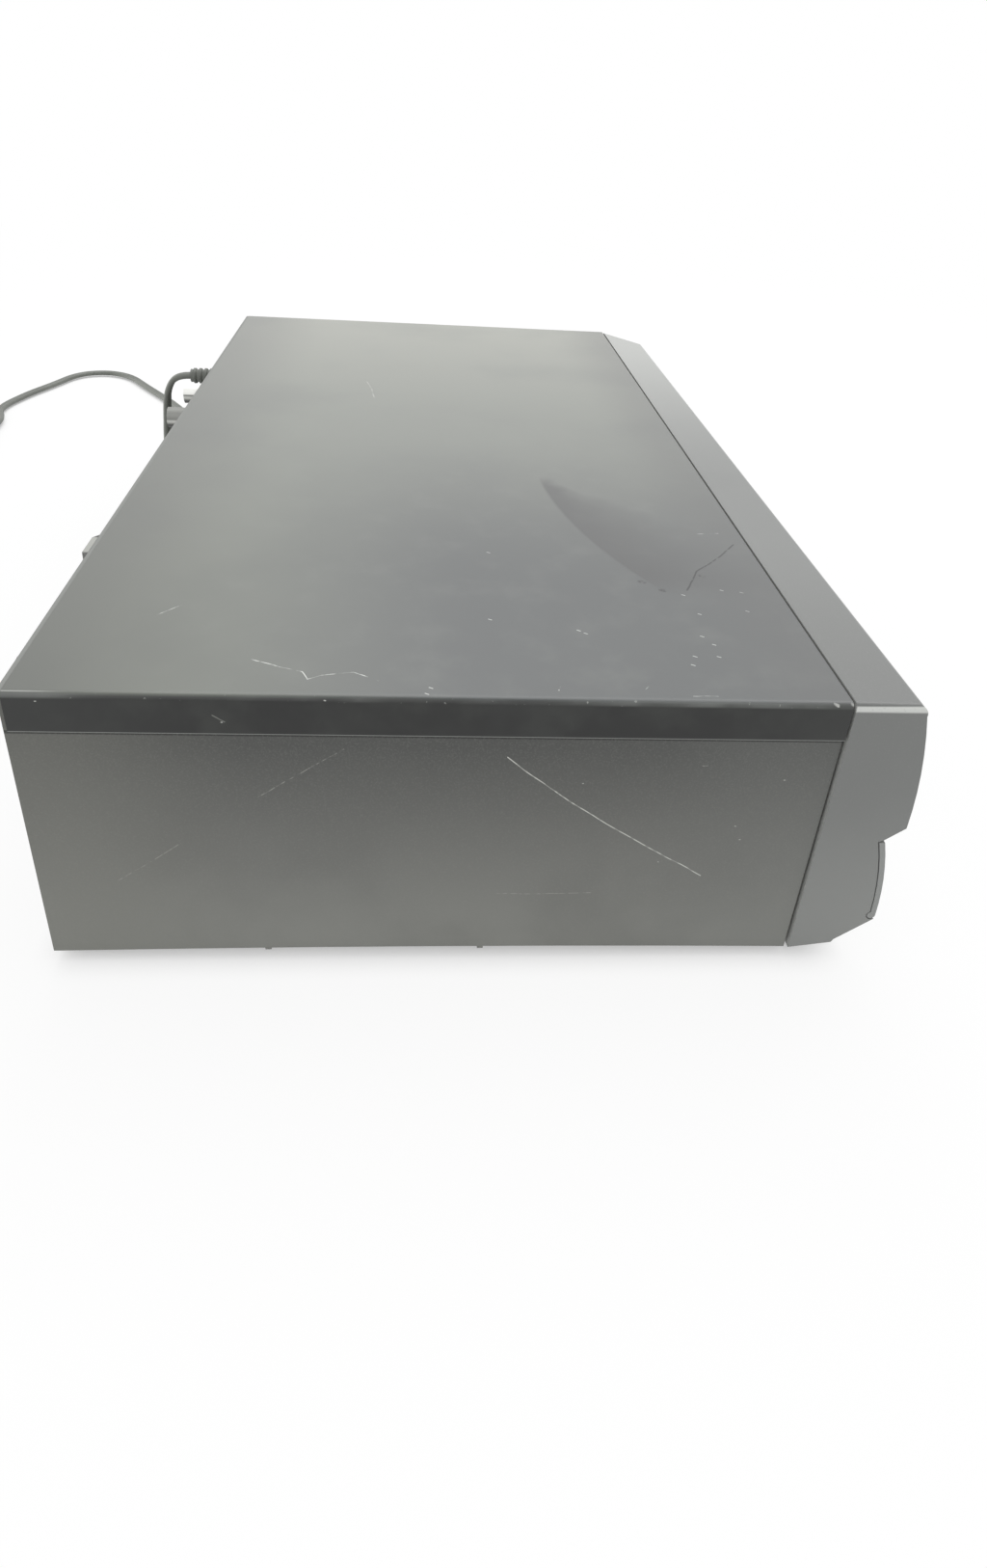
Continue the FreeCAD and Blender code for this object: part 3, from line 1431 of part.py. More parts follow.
def coil_path():
    """A straight start, the spiral in, the climb, the spiral out and a straight end."""
    quarters = int(round(4 * (2 * coil_turns + 0.5)))
    places = [coil_place(n / 4) for n in range(quarters + 1)]
    ways = [V(-1, 0, 0)] + [coil_way(n / 4) for n in range(1, quarters)] + [V(1, 0, 0)]
    edges = [line(cord_points[-1], places[0])]
    for n in range(quarters):
        edges += biarc(places[n], ways[n], places[n + 1], ways[n + 1])
    edges.append(line(places[-1], places[-1] + V(coil_tail, 0, 0)))
    return edges


def tube(edges, radius):
    """A round section swept along the edges; its volume must match section times length."""
    wire = Part.Wire(edges)
    first = edges[0].Vertexes[0].Point
    way = edges[0].tangentAt(edges[0].FirstParameter)
    section = Part.Wire([Part.makeCircle(radius, first, way)])
    swept = wire.makePipeShell([section], True, False)
    full = math.pi * radius**2 * wire.Length
    print("cord length", round(wire.Length, 1), "volume share", round(swept.Volume / full, 4))
    return swept


def least_gap(edges, radius):
    """The least gap between parts of the coil that are more than a third of a turn apart."""
    points = []
    way = 0.0
    for edge in edges:
        count = max(2, int(edge.Length / 1.5))
        for n in range(count):
            where = edge.valueAt(edge.FirstParameter + (edge.LastParameter - edge.FirstParameter) * n / count)
            points.append((way + edge.Length * n / count, where))
        way += edge.Length
    least = 1000.0
    for n, (way_a, a) in enumerate(points):
        for way_b, b in points[n + 1:]:
            if way_b - way_a > 50.0:
                least = min(least, (a - b).Length)
    return least - 2 * radius


def make_power_cord():
    edges, radii = rounded_path(cord_points)
    print("cord bend radii", [round(r, 1) for r in radii])
    return tube(edges, cord_radius)


def make_cord_coil():
    edges = coil_path()
    print("coil least gap", round(least_gap(edges, cord_radius), 3))
    return tube(edges, cord_radius)


def make_cord_tie():
    """A flat strap round the three windings of both layers on the side away from the plug."""
    outer_x = coil_x - (coil_outer - 0.25 * coil_pitch) - cord_radius - tie_gap
    inner_x = coil_x - (coil_inner + 0.25 * coil_pitch) + cord_radius + tie_gap
    low = coil_low - cord_radius - tie_gap
    high = coil_low + coil_rise + cord_radius + tie_gap
    y0, y1 = coil_y - tie_width / 2, coil_y + tie_width / 2
    strap = box(outer_x - tie_thick, inner_x + tie_thick, y0, y1, low - tie_thick, high + tie_thick)
    room = box(outer_x, inner_x, y0 - 1, y1 + 1, low, high)
    strap = strap.makeFillet(2.0, [e for e in strap.Edges if e.BoundBox.YLength > tie_width - 0.01])
    room = room.makeFillet(1.2, [e for e in room.Edges if e.BoundBox.YLength > tie_width - 0.01])
    middle = (outer_x + inner_x) / 2
    lock = box(middle - 4, middle + 4, y0 - 0.6, y1 + 0.6, high + tie_thick - 0.2, high + tie_thick + 2.4)
    return join(strap.cut(room), lock.makeFillet(0.6, lock.Edges))


def make_plug_body():
    """A moulded plug with a tapered neck and a waist for the fingers."""
    x = coil_x + coil_tail
    y = coil_y + coil_outer
    neck = Part.makeCone(cord_radius + 1.2, cord_radius + 3.4, plug_neck + 1, V(x, y, plug_z), V(1, 0, 0))
    start = x + plug_neck
    body = box(start, start + plug_length, y - plug_width / 2, y + plug_width / 2, 0.0, 2 * plug_z)
    body = body.makeFillet(3.0, [e for e in body.Edges if e.BoundBox.XMax < start + plug_length - 0.1
                                 or e.BoundBox.XLength > 1])
    grips = []
    for side in (-1, 1):
        for n in range(4):
            edge = y + side * plug_width / 2
            middle = start + 8 + n * 4.5
            grips.append(box(middle - 1, middle + 1, min(edge, edge - side * plug_grip),
                             max(edge, edge - side * plug_grip), 3.5, 2 * plug_z - 3.5))
    return cut(join(neck, body), *grips)


def make_plug_blades():
    x = coil_x + coil_tail + plug_neck + plug_length
    blades = []
    for side in (-1, 1):
        y = coil_y + coil_outer + side * blade_spacing / 2
        blade = box(x, x + blade_length, y - blade_thick / 2, y + blade_thick / 2,
                    plug_z - blade_width / 2, plug_z + blade_width / 2)
        blade = blade.makeChamfer(0.5, [e for e in blade.Edges if e.BoundBox.XMin > x + blade_length - 0.01])
        blades.append(blade.cut(rod_y(x + blade_length - 4, y - 2, y + 2, plug_z, 1.6)))
    return blades


# Build and save

save("top_cover", make_top_cover())
save("cabinet", make_cabinet())
save("feet", *make_feet())
save("rear_screws", *make_rear_screws())
save("cover_clip", make_cover_clip())
save("front_bezel", make_front_bezel())
save("display_window", make_display_window())
save("control_door", make_control_door())
save("cassette_door", make_cassette_door())
for name, x, height, across, tall in front_buttons:
    save(name, make_front_button(x, height, across, tall))
for name, x, height in recess_buttons:
    save(name, make_recess_button(x, height))
save("control_board", make_control_board())
save("display_tube", make_display_tube())
save("front_jacks", *make_front_jacks())
save("antenna_sockets", *make_antenna_sockets())
save("rf_block", make_rf_block())
save("rear_jacks", make_rear_jacks())
save("main_board", make_main_board())
save("power_board", make_power_board())
save("transformer", make_transformer())
save("heat_sink", make_heat_sink())
save("capacitors", *make_capacitors())
save("strain_relief", make_strain_relief())
save("power_cord", make_power_cord())
save("cord_coil", make_cord_coil())
save("cord_tie", make_cord_tie())
save("plug_body", make_plug_body())
save("plug_blades", *make_plug_blades())
save("deck_chassis", make_deck_chassis())
save("drum_lower", make_lower_drum())
save("drum_upper", make_upper_drum())
save("capstan", make_capstan())
save("capstan_motor", make_capstan_motor())
save("clutch", make_clutch())
save("reel_belt", make_reel_belt())
save("idler_arm", make_idler_arm())
save("idler_wheel", make_idler_wheel())
save("supply_reel", make_reel(-1))
save("takeup_reel", make_reel(1))
save("pinch_arm", make_pinch_arm())
save("pinch_roller", make_pinch_roller())
save("left_loading_arm", make_loading_arm(-1))
save("right_loading_arm", make_loading_arm(1))
save("cam_gear", make_cam_gear())
save("worm", make_worm())
save("loading_motor", make_loading_motor())
save("erase_head", make_head(erase_place, 1, 9.0))
save("audio_head", make_head(audio_place, -1, 12.0))
save("tension_arm", make_tension_arm())
save("basket", make_basket())
save("slider", make_slider())
save("side_frames", *make_side_frames())
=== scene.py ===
import math

import bmesh
import bpy
from mathutils import Matrix, Vector


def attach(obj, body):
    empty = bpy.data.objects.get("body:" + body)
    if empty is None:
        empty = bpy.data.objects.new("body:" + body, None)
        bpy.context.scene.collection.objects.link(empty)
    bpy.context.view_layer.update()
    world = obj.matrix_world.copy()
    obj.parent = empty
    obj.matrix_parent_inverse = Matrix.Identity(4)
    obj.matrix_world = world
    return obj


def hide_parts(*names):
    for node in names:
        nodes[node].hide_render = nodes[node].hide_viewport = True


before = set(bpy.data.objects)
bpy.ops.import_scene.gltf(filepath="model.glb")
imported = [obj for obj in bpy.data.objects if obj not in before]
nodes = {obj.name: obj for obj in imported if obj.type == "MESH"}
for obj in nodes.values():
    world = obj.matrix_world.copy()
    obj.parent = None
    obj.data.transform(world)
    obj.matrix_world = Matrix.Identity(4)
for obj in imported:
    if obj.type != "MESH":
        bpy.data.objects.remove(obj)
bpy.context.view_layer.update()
MM = 0.001

# Places shared by pieces and finishes: the back of the cabinet in metres, the rest in millimetres

REAR_Y = 0.1166
TOP = 95.9
SIDE = -215.0
BOARD_TOP = 12.1

# No edge of the real thing is knife sharp, so light catches a round of this radius, in metres

EDGE_ROUND = 0.00035


def linear(code):
    """An sRGB colour code as the linear values that shaders take."""
    values = [int(code[i:i + 2], 16) / 255 for i in (1, 3, 5)]
    return [v / 12.92 if v <= 0.04045 else ((v + 0.055) / 1.055) ** 2.4 for v in values] + [1.0]


def add(tree, kind, inputs=None, out=0, **settings):
    """Adds one node with its settings, and inputs that are values or other nodes' outputs."""
    made = tree.nodes.new("ShaderNode" + kind)
    for key, value in settings.items():
        setattr(made, key, value)
    for key, value in (inputs or {}).items():
        if isinstance(value, bpy.types.NodeSocket):
            tree.links.new(value, made.inputs[key])
        else:
            made.inputs[key].default_value = value
    return made.outputs[out]


# How far apart a listed scratch changes its way, and the shape of a small chip, in millimetres

SHAKE_EVERY = 9
SPOT_X = 0.5
SPOT_Y = 0.9
SPOT_SOFT = 0.7
SPOT_WANDER = 0.8


class Finish:
    """A material that tints, changes of gloss and relief are laid on, with sizes in millimetres.

    A mask is another node's output, or (value, start, full) for a soft edge that is 0 at the start
    and 1 where it is full; two more numbers give other strengths for the two ends.
    """

    def __init__(self, name, color, rough=0.5, metal=0.0, ior=1.5, coat=0.0, coat_rough=0.03, specular=0.5):
        self.material = bpy.data.materials.new(name)
        self.material.use_nodes = True
        self.tree = self.material.node_tree
        self.shader = self.tree.nodes["Principled BSDF"]
        start = {
            "Metallic": metal, "Roughness": rough, "IOR": ior, "Coat Weight": coat,
            "Coat Roughness": coat_rough, "Specular IOR Level": specular, "Base Color": linear(color),
        }
        for key, value in start.items():
            self.shader.inputs[key].default_value = value
        self.color = linear(color)
        self.rough = rough
        self.height = 0.0
        self.where = self.add("TexCoord", out="Object")

    def add(self, kind, inputs=None, out=0, **settings):
        return add(self.tree, kind, inputs, out, **settings)

    def place(self, axis):
        """One object coordinate, in millimetres."""
        metres = self.add("SeparateXYZ", {"Vector": self.where}, out=axis)
        return self.add("Math", {0: metres, 1: MM}, operation="DIVIDE")

    def facing(self, axis, start=0.5, full=0.8):
        """1 on faces that look along the axis, by the part's own directions."""
        normal = self.add("TexCoord", out="Normal")
        return self.over((self.add("SeparateXYZ", {"Vector": normal}, out=axis), start, full))

    def over(self, *masks, straight=False):
        """The masks times each other, and a number among them scales the rest."""
        total = None
        for mask in masks:
            if isinstance(mask, tuple):
                value, start, full, low, high = (*mask, 0.0, 1.0)[:5]
                ends = {"From Min": start, "From Max": full, "To Min": low, "To Max": high}
                edge = "LINEAR" if straight else "SMOOTHSTEP"
                mask = self.add("MapRange", {"Value": value, **ends}, interpolation_type=edge)
            if total is None:
                total = mask
            else:
                total = self.add("Math", {0: total, 1: mask}, operation="MULTIPLY")
        return total

    def joined(self, *masks):
        """The strongest of the masks at each place."""
        total = self.over(masks[0])
        for mask in masks[1:]:
            total = self.add("Math", {0: total, 1: self.over(mask)}, operation="MAXIMUM")
        return total

    def blotches(self, size_mm, detail=2.0, stretch=(1, 1, 1)):
        """An uneven pattern, 0 to 1, whose patches are about this size."""
        scale = tuple(v / (size_mm * MM) for v in stretch)
        scaled = self.add("VectorMath", {0: self.where, 1: scale}, operation="MULTIPLY")
        return self.add("TexNoise", {"Vector": scaled, "Scale": 1.0, "Detail": detail}, out="Fac")

    def stroke(self, start, end, width_mm, soft=0.5, wander=0.0):
        """1 on a line between two places, 0 away from it; a line that wanders shakes by so much."""
        first = Vector(start) * MM
        way = Vector(end) * MM - first
        where = self.where
        if wander:
            shake = self.add("TexNoise", {"Vector": where, "Scale": 1 / (SHAKE_EVERY * MM)}, out="Color")
            centred = self.add("VectorMath", {0: shake, 1: (0.5, 0.5, 0.5)}, operation="SUBTRACT")
            moved = self.add("VectorMath", {0: centred, "Scale": wander * MM}, operation="SCALE")
            where = self.add("VectorMath", {0: where, 1: moved}, operation="ADD")
        offset = self.add("VectorMath", {0: where, 1: tuple(first)}, operation="SUBTRACT")
        dot = self.add("VectorMath", {0: offset, 1: tuple(way)}, out="Value", operation="DOT_PRODUCT")
        along = self.add("Math", {0: dot, 1: way.length_squared}, operation="DIVIDE", use_clamp=True)
        nearest = self.add("VectorMath", {0: tuple(way), "Scale": along}, operation="SCALE")
        away = self.add("VectorMath", {0: offset, 1: nearest}, operation="SUBTRACT")
        far = self.add("VectorMath", {0: away}, out="Value", operation="LENGTH")
        half = width_mm * MM / 2
        return self.over((far, half, half * (1 - soft) - 1e-6))

    def strokes(self, places, width_mm, soft=0.6, wander=0.0):
        """1 on the line through all the places."""
        return self.joined(*[self.stroke(a, b, width_mm, soft, wander) for a, b in zip(places, places[1:])])

    def spots(self, places, width_mm):
        """1 on a small, uneven spot at each place."""
        return self.joined(*[
            self.stroke((x, y, z), (x + SPOT_X, y + SPOT_Y, z), width_mm, SPOT_SOFT, SPOT_WANDER)
            for x, y, z in places])

    def tint(self, mask, color, amount=1.0):
        """Mixes a colour in where the mask is 1."""
        share = self.over(mask) if amount == 1.0 else self.over(mask, amount)
        mix = {"Factor": share, "A": self.color, "B": linear(color)}
        self.color = self.add("Mix", mix, out="Result", data_type="RGBA")

    def gloss(self, mask, to_rough):
        """Changes the roughness where the mask is 1."""
        mix = {"Factor": self.over(mask), "A": self.rough, "B": to_rough}
        self.rough = self.add("Mix", mix, out="Result", data_type="FLOAT")

    def relief(self, mask, depth_mm):
        """Raises the surface where the mask is 1, or sinks it by a depth below 0."""
        raised = self.over(mask, depth_mm)
        self.height = self.add("Math", {0: self.height, 1: raised}, operation="ADD")

    def done(self):
        """Links what was laid on, with rounded edges under the relief, and gives the material back."""
        laid = {"Base Color": self.color, "Roughness": self.rough}
        if isinstance(self.height, bpy.types.NodeSocket):
            edge = self.add("Bevel", {"Radius": EDGE_ROUND}, samples=4)
            bump = {"Strength": 1.0, "Distance": MM, "Height": self.height, "Normal": edge}
            laid["Normal"] = self.add("Bump", bump)
        for key, value in laid.items():
            if isinstance(value, bpy.types.NodeSocket):
                self.tree.links.new(value, self.shader.inputs[key])
        return self.material


# The grain of a moulding or a plate is 0.1 mm or less, too fine to show here, so it is drawn at 0.6 mm

GRAIN_MM = 0.6
CLOUDS = 60
SHEEN_CLOUDS = 25


def grained(name, color, rough=0.5, metal=0.0, ior=1.5, grain_mm=GRAIN_MM, vary=0.12):
    """A surface with a fine grain, and clouds many grains wide that change its tone and sheen a little."""
    s = Finish(name, color, rough, metal, ior)
    s.tint((s.blotches(grain_mm * CLOUDS, 3), 0.35, 0.7), "#101010", vary)
    s.gloss((s.blotches(grain_mm * SHEEN_CLOUDS, 3), 0.3, 0.7), min(1.0, rough + 0.08))
    s.relief(s.blotches(grain_mm), 0.01)
    return s


def paint(node_name, material):
    """Gives a CAD node one material all over."""
    mesh = nodes[node_name].data
    mesh.materials.clear()
    mesh.materials.append(material)
    for polygon in mesh.polygons:
        polygon.material_index = 0


# Cord: plasticised PVC extruded round two conductors, which the eye reads as a dull, slightly waxy grey.
# Its side that faces back is painted lighter, a painted highlight. Its grain is finer than 0.1 mm, too fine
# to show here, so it is drawn at 0.5 mm.

CORD_WIDTH = 0.0056
CORD_THICK = 0.0031
CORD_WAIST = 0.62
CORD_SIDES = 10


def hidden_outline(name, place_list):
    """A closed outline that a curve is swept with, hidden itself."""
    curve = bpy.data.curves.new(name, "CURVE")
    curve.dimensions = "2D"
    spline = curve.splines.new("POLY")
    spline.points.add(len(place_list) - 1)
    for point, (x, y) in zip(spline.points, place_list):
        point.co = (x, y, 0, 1)
    spline.use_cyclic_u = True
    made = bpy.data.objects.new(name, curve)
    bpy.context.collection.objects.link(made)
    made.hide_render = True
    made.hide_viewport = True
    return made


def twin_places():
    """Two round conductors side by side with a waist between them."""
    radius = CORD_THICK / 2
    offset = CORD_WIDTH / 2 - radius
    waist = CORD_WAIST * radius
    reach = math.sqrt(radius * radius - waist * waist)
    first = math.atan2(waist, -reach)
    places = []
    for side, turned in ((1, 0), (-1, math.pi)):
        for n in range(CORD_SIDES + 1):
            angle = turned + first - 2 * first * n / CORD_SIDES
            places.append((side * offset + radius * math.cos(angle), radius * math.sin(angle)))
    return places


def swept_cord(name, place_list, outline):
    """A smooth curve near the places, swept with the outline that stays level."""
    curve = bpy.data.curves.new(name, "CURVE")
    curve.dimensions = "3D"
    curve.twist_mode = "Z_UP"
    spline = curve.splines.new("NURBS")
    spline.points.add(len(place_list) - 1)
    for point, place in zip(spline.points, place_list):
        point.co = (*place, 1)
    spline.order_u = 3
    spline.use_endpoint_u = True
    spline.resolution_u = 10
    curve.bevel_mode = "OBJECT"
    curve.bevel_object = outline
    curve.use_fill_caps = True
    made = bpy.data.objects.new(name, curve)
    bpy.context.collection.objects.link(made)
    return made


CORD_ROUTE_MM = [
    (129.5, 135.3, 81.0), (129.5, 143.5, 81.0), (129.5, 148.9, 73.0), (130.0, 150.4, 62.0),
    (130.5, 151.3, 49.0), (132.0, 152.3, 35.0), (137.0, 153.3, 21.0), (150.0, 154.2, 9.0),
    (168.0, 153.5, 2.8), (195.0, 153.5, 2.8), (235.0, 157.0, 2.8), (275.0, 167.0, 2.8),
    (310.0, 182.0, 2.8), (337.1, 198.3, 2.8), (372.1, 223.6, 2.8), (399.9, 241.8, 2.8),
    (409.8, 262.8, 2.8), (400.3, 284.3, 2.8), (368.0, 294.2, 2.8), (342.2, 304.4, 2.8),
    (303.9, 313.3, 2.8), (281.0, 303.2, 3.3), (263.0, 301.0, 3.9), (248.0, 301.0, 3.9),
]
COIL_X = 0.242
COIL_OUTER = 0.0410
COIL_PITCH = 0.0062
COIL_TURNS = 2.5
COIL_CLIMB_TURNS = 0.5
COIL_LOW = 0.0039
COIL_RISE = 0.0061
COIL_PULL = 0.0014
COIL_TAIL = 0.030
COIL_Y = CORD_ROUTE_MM[-1][1] * MM + COIL_OUTER
COIL_INNER = COIL_OUTER - COIL_TURNS * COIL_PITCH
POINTS_A_TURN = 16


def coil_place(turn):
    """The cord's middle after so many turns: in on the floor layer, up, and out on the upper layer."""
    if turn <= COIL_TURNS:
        radius = COIL_OUTER - turn * COIL_PITCH
        height = COIL_LOW
    elif turn <= COIL_TURNS + COIL_CLIMB_TURNS:
        share = (turn - COIL_TURNS) / COIL_CLIMB_TURNS
        radius = COIL_INNER - COIL_PULL * math.sin(math.pi * share)
        height = COIL_LOW + COIL_RISE * (1 - math.cos(math.pi * share)) / 2
    else:
        radius = COIL_INNER + (turn - COIL_TURNS - COIL_CLIMB_TURNS) * COIL_PITCH
        height = COIL_LOW + COIL_RISE
    angle = -math.pi / 2 - 2 * math.pi * turn
    return (COIL_X + radius * math.cos(angle), COIL_Y + radius * math.sin(angle), height)


def coil_places():
    """The coil's points, a little outside its circle because the curve runs inside them, and the tail."""
    last = int(round(POINTS_A_TURN * (2 * COIL_TURNS + COIL_CLIMB_TURNS)))
    outward = 1 / math.cos(math.pi / POINTS_A_TURN)
    places = [route[-1]]
    for n in range(last + 1):
        x, y, z = coil_place(n / POINTS_A_TURN)
        if 0 < n < last:
            x = COIL_X + (x - COIL_X) * outward
            y = COIL_Y + (y - COIL_Y) * outward
        places.append((x, y, z))
    places.append((places[-1][0] + COIL_TAIL, places[-1][1], places[-1][2]))
    return places


pvc_finish = grained("extruded_pvc", "#6c6f69", 0.42, ior=1.53, grain_mm=0.5, vary=0.2)
# Painted highlight: the cord's side that faces back is painted lighter
pvc_finish.tint(pvc_finish.facing("Y", 0.1, 0.8), "#a0a39c", 0.6)
pvc = pvc_finish.done()
twin = hidden_outline("cord_outline", twin_places())
route = [tuple(v * MM for v in place) for place in CORD_ROUTE_MM]
cord = swept_cord("flex", route, twin)
cord.data.materials.append(pvc)
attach(cord, "case")
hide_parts("power_cord")

coil = swept_cord("flex_coil", coil_places(), twin)
coil.data.materials.append(pvc)
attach(coil, "case")
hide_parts("cord_coil")

# Strain relief, moulded of the cord's PVC

BOOT_LENGTH = 0.0187
BOOT_RADIUS = 0.0042
BOOT_TIP = 0.0041
BOOT_TIP_ROUND = 0.0006
BOOT_NECK = 0.0046
BOOT_LIP = 0.0014
BOOT_COLLAR = 0.0010
BOOT_FLANGE = 0.0018
BOOT_RIBS = 5
RIBS_START = 0.0026
RIBS_ROOM = 0.0040
NEAR_AXIS = 0.0001
WALL = 0.0022

# One rib: how far each point is inside the rib's outer radius, and its share of the pitch

RIB_STEPS = [(0.0007, 0.10), (0.0007, 0.30), (0.0002, 0.42), (0.0, 0.52), (0.0, 0.90), (0.0007, 0.98)]


def finished(name, bm, smooth=40):
    """The bmesh as an object whose edges sharper than the angle stay sharp."""
    mesh = bpy.data.meshes.new(name)
    bm.to_mesh(mesh)
    bm.free()
    for polygon in mesh.polygons:
        polygon.use_smooth = True
    mesh.set_sharp_from_angle(angle=math.radians(smooth))
    made = bpy.data.objects.new(name, mesh)
    bpy.context.collection.objects.link(made)
    return made


def spun(name, outline, axis_point, segments=48):
    """A piece turned about a line along Y through the point, from (radius, y) pairs."""
    bm = bmesh.new()
    x, _, z = axis_point
    ring = [bm.verts.new((x + r, y, z)) for r, y in outline]
    edges = [bm.edges.new(pair) for pair in zip(ring, ring[1:])]
    bmesh.ops.spin(bm, geom=ring + edges, cent=(x, 0, z), axis=(0, 1, 0), dvec=(0, 0, 0),
                   angle=2 * math.pi, steps=segments, use_merge=True)
    bmesh.ops.remove_doubles(bm, verts=bm.verts, dist=1e-6)
    bmesh.ops.recalc_face_normals(bm, faces=bm.faces)
    return finished(name, bm)


def boot_outline():
    """The flange inside the wall, a collar outside it and soft ribs up to the cord."""
    lip = BOOT_NECK + BOOT_LIP
    collar = BOOT_NECK + BOOT_COLLAR
    inside = REAR_Y - WALL
    places = [
        (NEAR_AXIS, inside - BOOT_FLANGE), (lip, inside - BOOT_FLANGE), (lip, inside), (BOOT_NECK, inside),
        (BOOT_NECK, REAR_Y), (collar, REAR_Y + 0.0002), (collar, REAR_Y + 0.0015),
        (BOOT_RADIUS, REAR_Y + 0.0024),
    ]
    pitch = (BOOT_LENGTH - RIBS_ROOM) / BOOT_RIBS
    for n in range(BOOT_RIBS):
        start = REAR_Y + RIBS_START + n * pitch
        outer = BOOT_RADIUS + (BOOT_TIP - BOOT_RADIUS) * n / (BOOT_RIBS - 1)
        places += [(outer - drop, start + share * pitch) for drop, share in RIB_STEPS]
    return places + [(BOOT_TIP - BOOT_TIP_ROUND, REAR_Y + BOOT_LENGTH), (NEAR_AXIS, REAR_Y + BOOT_LENGTH)]


boot = spun("boot", boot_outline(), (CORD_ROUTE_MM[0][0] * MM, 0, CORD_ROUTE_MM[0][2] * MM))
boot.data.materials.append(pvc)
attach(boot, "case")
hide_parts("strain_relief")

# Wear of the cover and the cabinet, and places of painted highlights on the cover's left corner, in
# millimetres, and the lower edge of the cover's folded flange

FLANGE_LOW = 84.0

# The dent's curved edge runs from its start to its end on a circle about its middle

DENT_START = (-49.9, -37.1)
DENT_END = (-154.8, -69.2)
DENT_MIDDLE = (-38.7, -261.0)
DENT_RADIUS = 224.2
DENT_WIDTH = 34.0
DENT_LEAST = 4.0
DENT_UNEVEN = 6
DENT_DEPTH = -0.12
TOP_SCRATCHES = [
    [(-196.5, 55.8), (-200.6, 47.9), (-202.8, 41.8), (-206.3, 40.2), (-204.3, 36.7), (-202.5, 28.1),
     (-206.6, 21.4)],
    [(-173.3, 85.8), (-166.5, 80.1)],
    [(78.9, 37.2), (65.4, 33.8), (50.7, 32.3)],
    [(-103.8, -87.7), (-102.5, -97.9)],
    [(-210.1, -26.3), (-207.2, -27.2)],
    [(-209.9, -49.2), (-207.5, -51.0)],
    [(-211.9, -62.3), (-211.7, -69.0)],
]
TOP_GOUGE = [
    (-112.4, -100.9), (-120.8, -94.7), (-129.1, -87.5), (-134.9, -81.9), (-142.4, -78.5), (-149.5, -75.1),
]
TOP_RUBS = [(-149.9, -67.6), (-144.1, -62.0), (-138.6, -83.1)]
TOP_SPECKS = [
    (-124.6, -13.2), (-177.6, -36.7), (-179.2, -38.6), (-152.9, -73.7), (-148.9, -87.2), (-150.3, -93.6),
    (-165.7, -75.8), (-163.1, -91.8), (-179.5, -73.1), (-184.4, -75.5), (-191.3, -75.2), (-196.0, -66.6),
    (-191.3, -68.2), (-171.9, -10.8), (-210.1, 7.2), (-212.9, 8.2),
]
FLANGE_CHIPS = [(34.5, 94.8), (106.5, 93.5), (61.2, 87.8), (-102.2, 95.1)]
FLANGE_SCRATCH = [(63.5, 89.8), (60.6, 87.9)]
CORNER_HIGHLIGHT = [(116, 95.65), (99, 95.65)]
CORNER_GLINTS = [(-101.4, 95.3), (-106.2, 95.3)]
SIDE_SCRATCH = [
    (-13.6, 76.8), (-19.2, 71.8), (-31.7, 62.1), (-43.6, 53.5), (-59.0, 43.4), (-69.5, 37.0), (-74.0, 34.0),
]
SIDE_FAINT = [
    [(30.3, 78.8), (39.8, 72.3), (53.8, 62.5)],
    [(76.0, 45.9), (95.4, 31.5)],
    [(-13.6, 26.9), (-27.0, 26.9), (-41.8, 27.1)],
    [(-67.8, 74.5), (-69.8, 74.5)],
]
SIDE_SPECKS = [(-35.2, 68.0), (-81.1, 53.0), (-83.5, 48.0), (-60.5, 39.3), (-92.4, 69.8)]


def on_top(places):
    return [(x, y, TOP) for x, y in places]


def on_side(places, inward=0.0):
    return [(SIDE + inward, y, z) for y, z in places]


def dent_mask(s):
    """The inside of a shallow dent: sharp at its curved edge, fading away from it and at both ends."""
    flat = s.add("VectorMath", {0: s.where, 1: (1, 1, 0)}, operation="MULTIPLY")
    middle = (DENT_MIDDLE[0] * MM, DENT_MIDDLE[1] * MM, 0)
    reach = s.add("VectorMath", {0: flat, 1: middle}, out="Value", operation="DISTANCE")
    reach_mm = s.add("Math", {0: reach, 1: MM}, operation="DIVIDE")
    depth = s.add("Math", {0: DENT_RADIUS, 1: reach_mm}, operation="SUBTRACT")
    passed = s.add("Math", {0: DENT_START[0], 1: s.place("X")}, operation="SUBTRACT")
    way = s.add("Math", {0: passed, 1: DENT_START[0] - DENT_END[0]}, operation="DIVIDE")
    wide = s.over((way, 0.0, 0.5), DENT_WIDTH)
    room = s.add("Math", {0: wide, 1: DENT_LEAST}, operation="ADD")
    uneven = s.over((s.blotches(14), 0.2, 0.8), DENT_UNEVEN)
    far = s.add("Math", {0: depth, 1: uneven}, operation="SUBTRACT")
    gone = s.add("Math", {0: far, 1: room}, operation="DIVIDE")
    fade = s.add("Math", {0: 1.0, 1: gone}, operation="SUBTRACT", use_clamp=True)
    return s.over((depth, -0.5, 1.2), fade, (way, -0.02, 0.12), (way, 1.02, 0.84))


# Finishes of the nodes


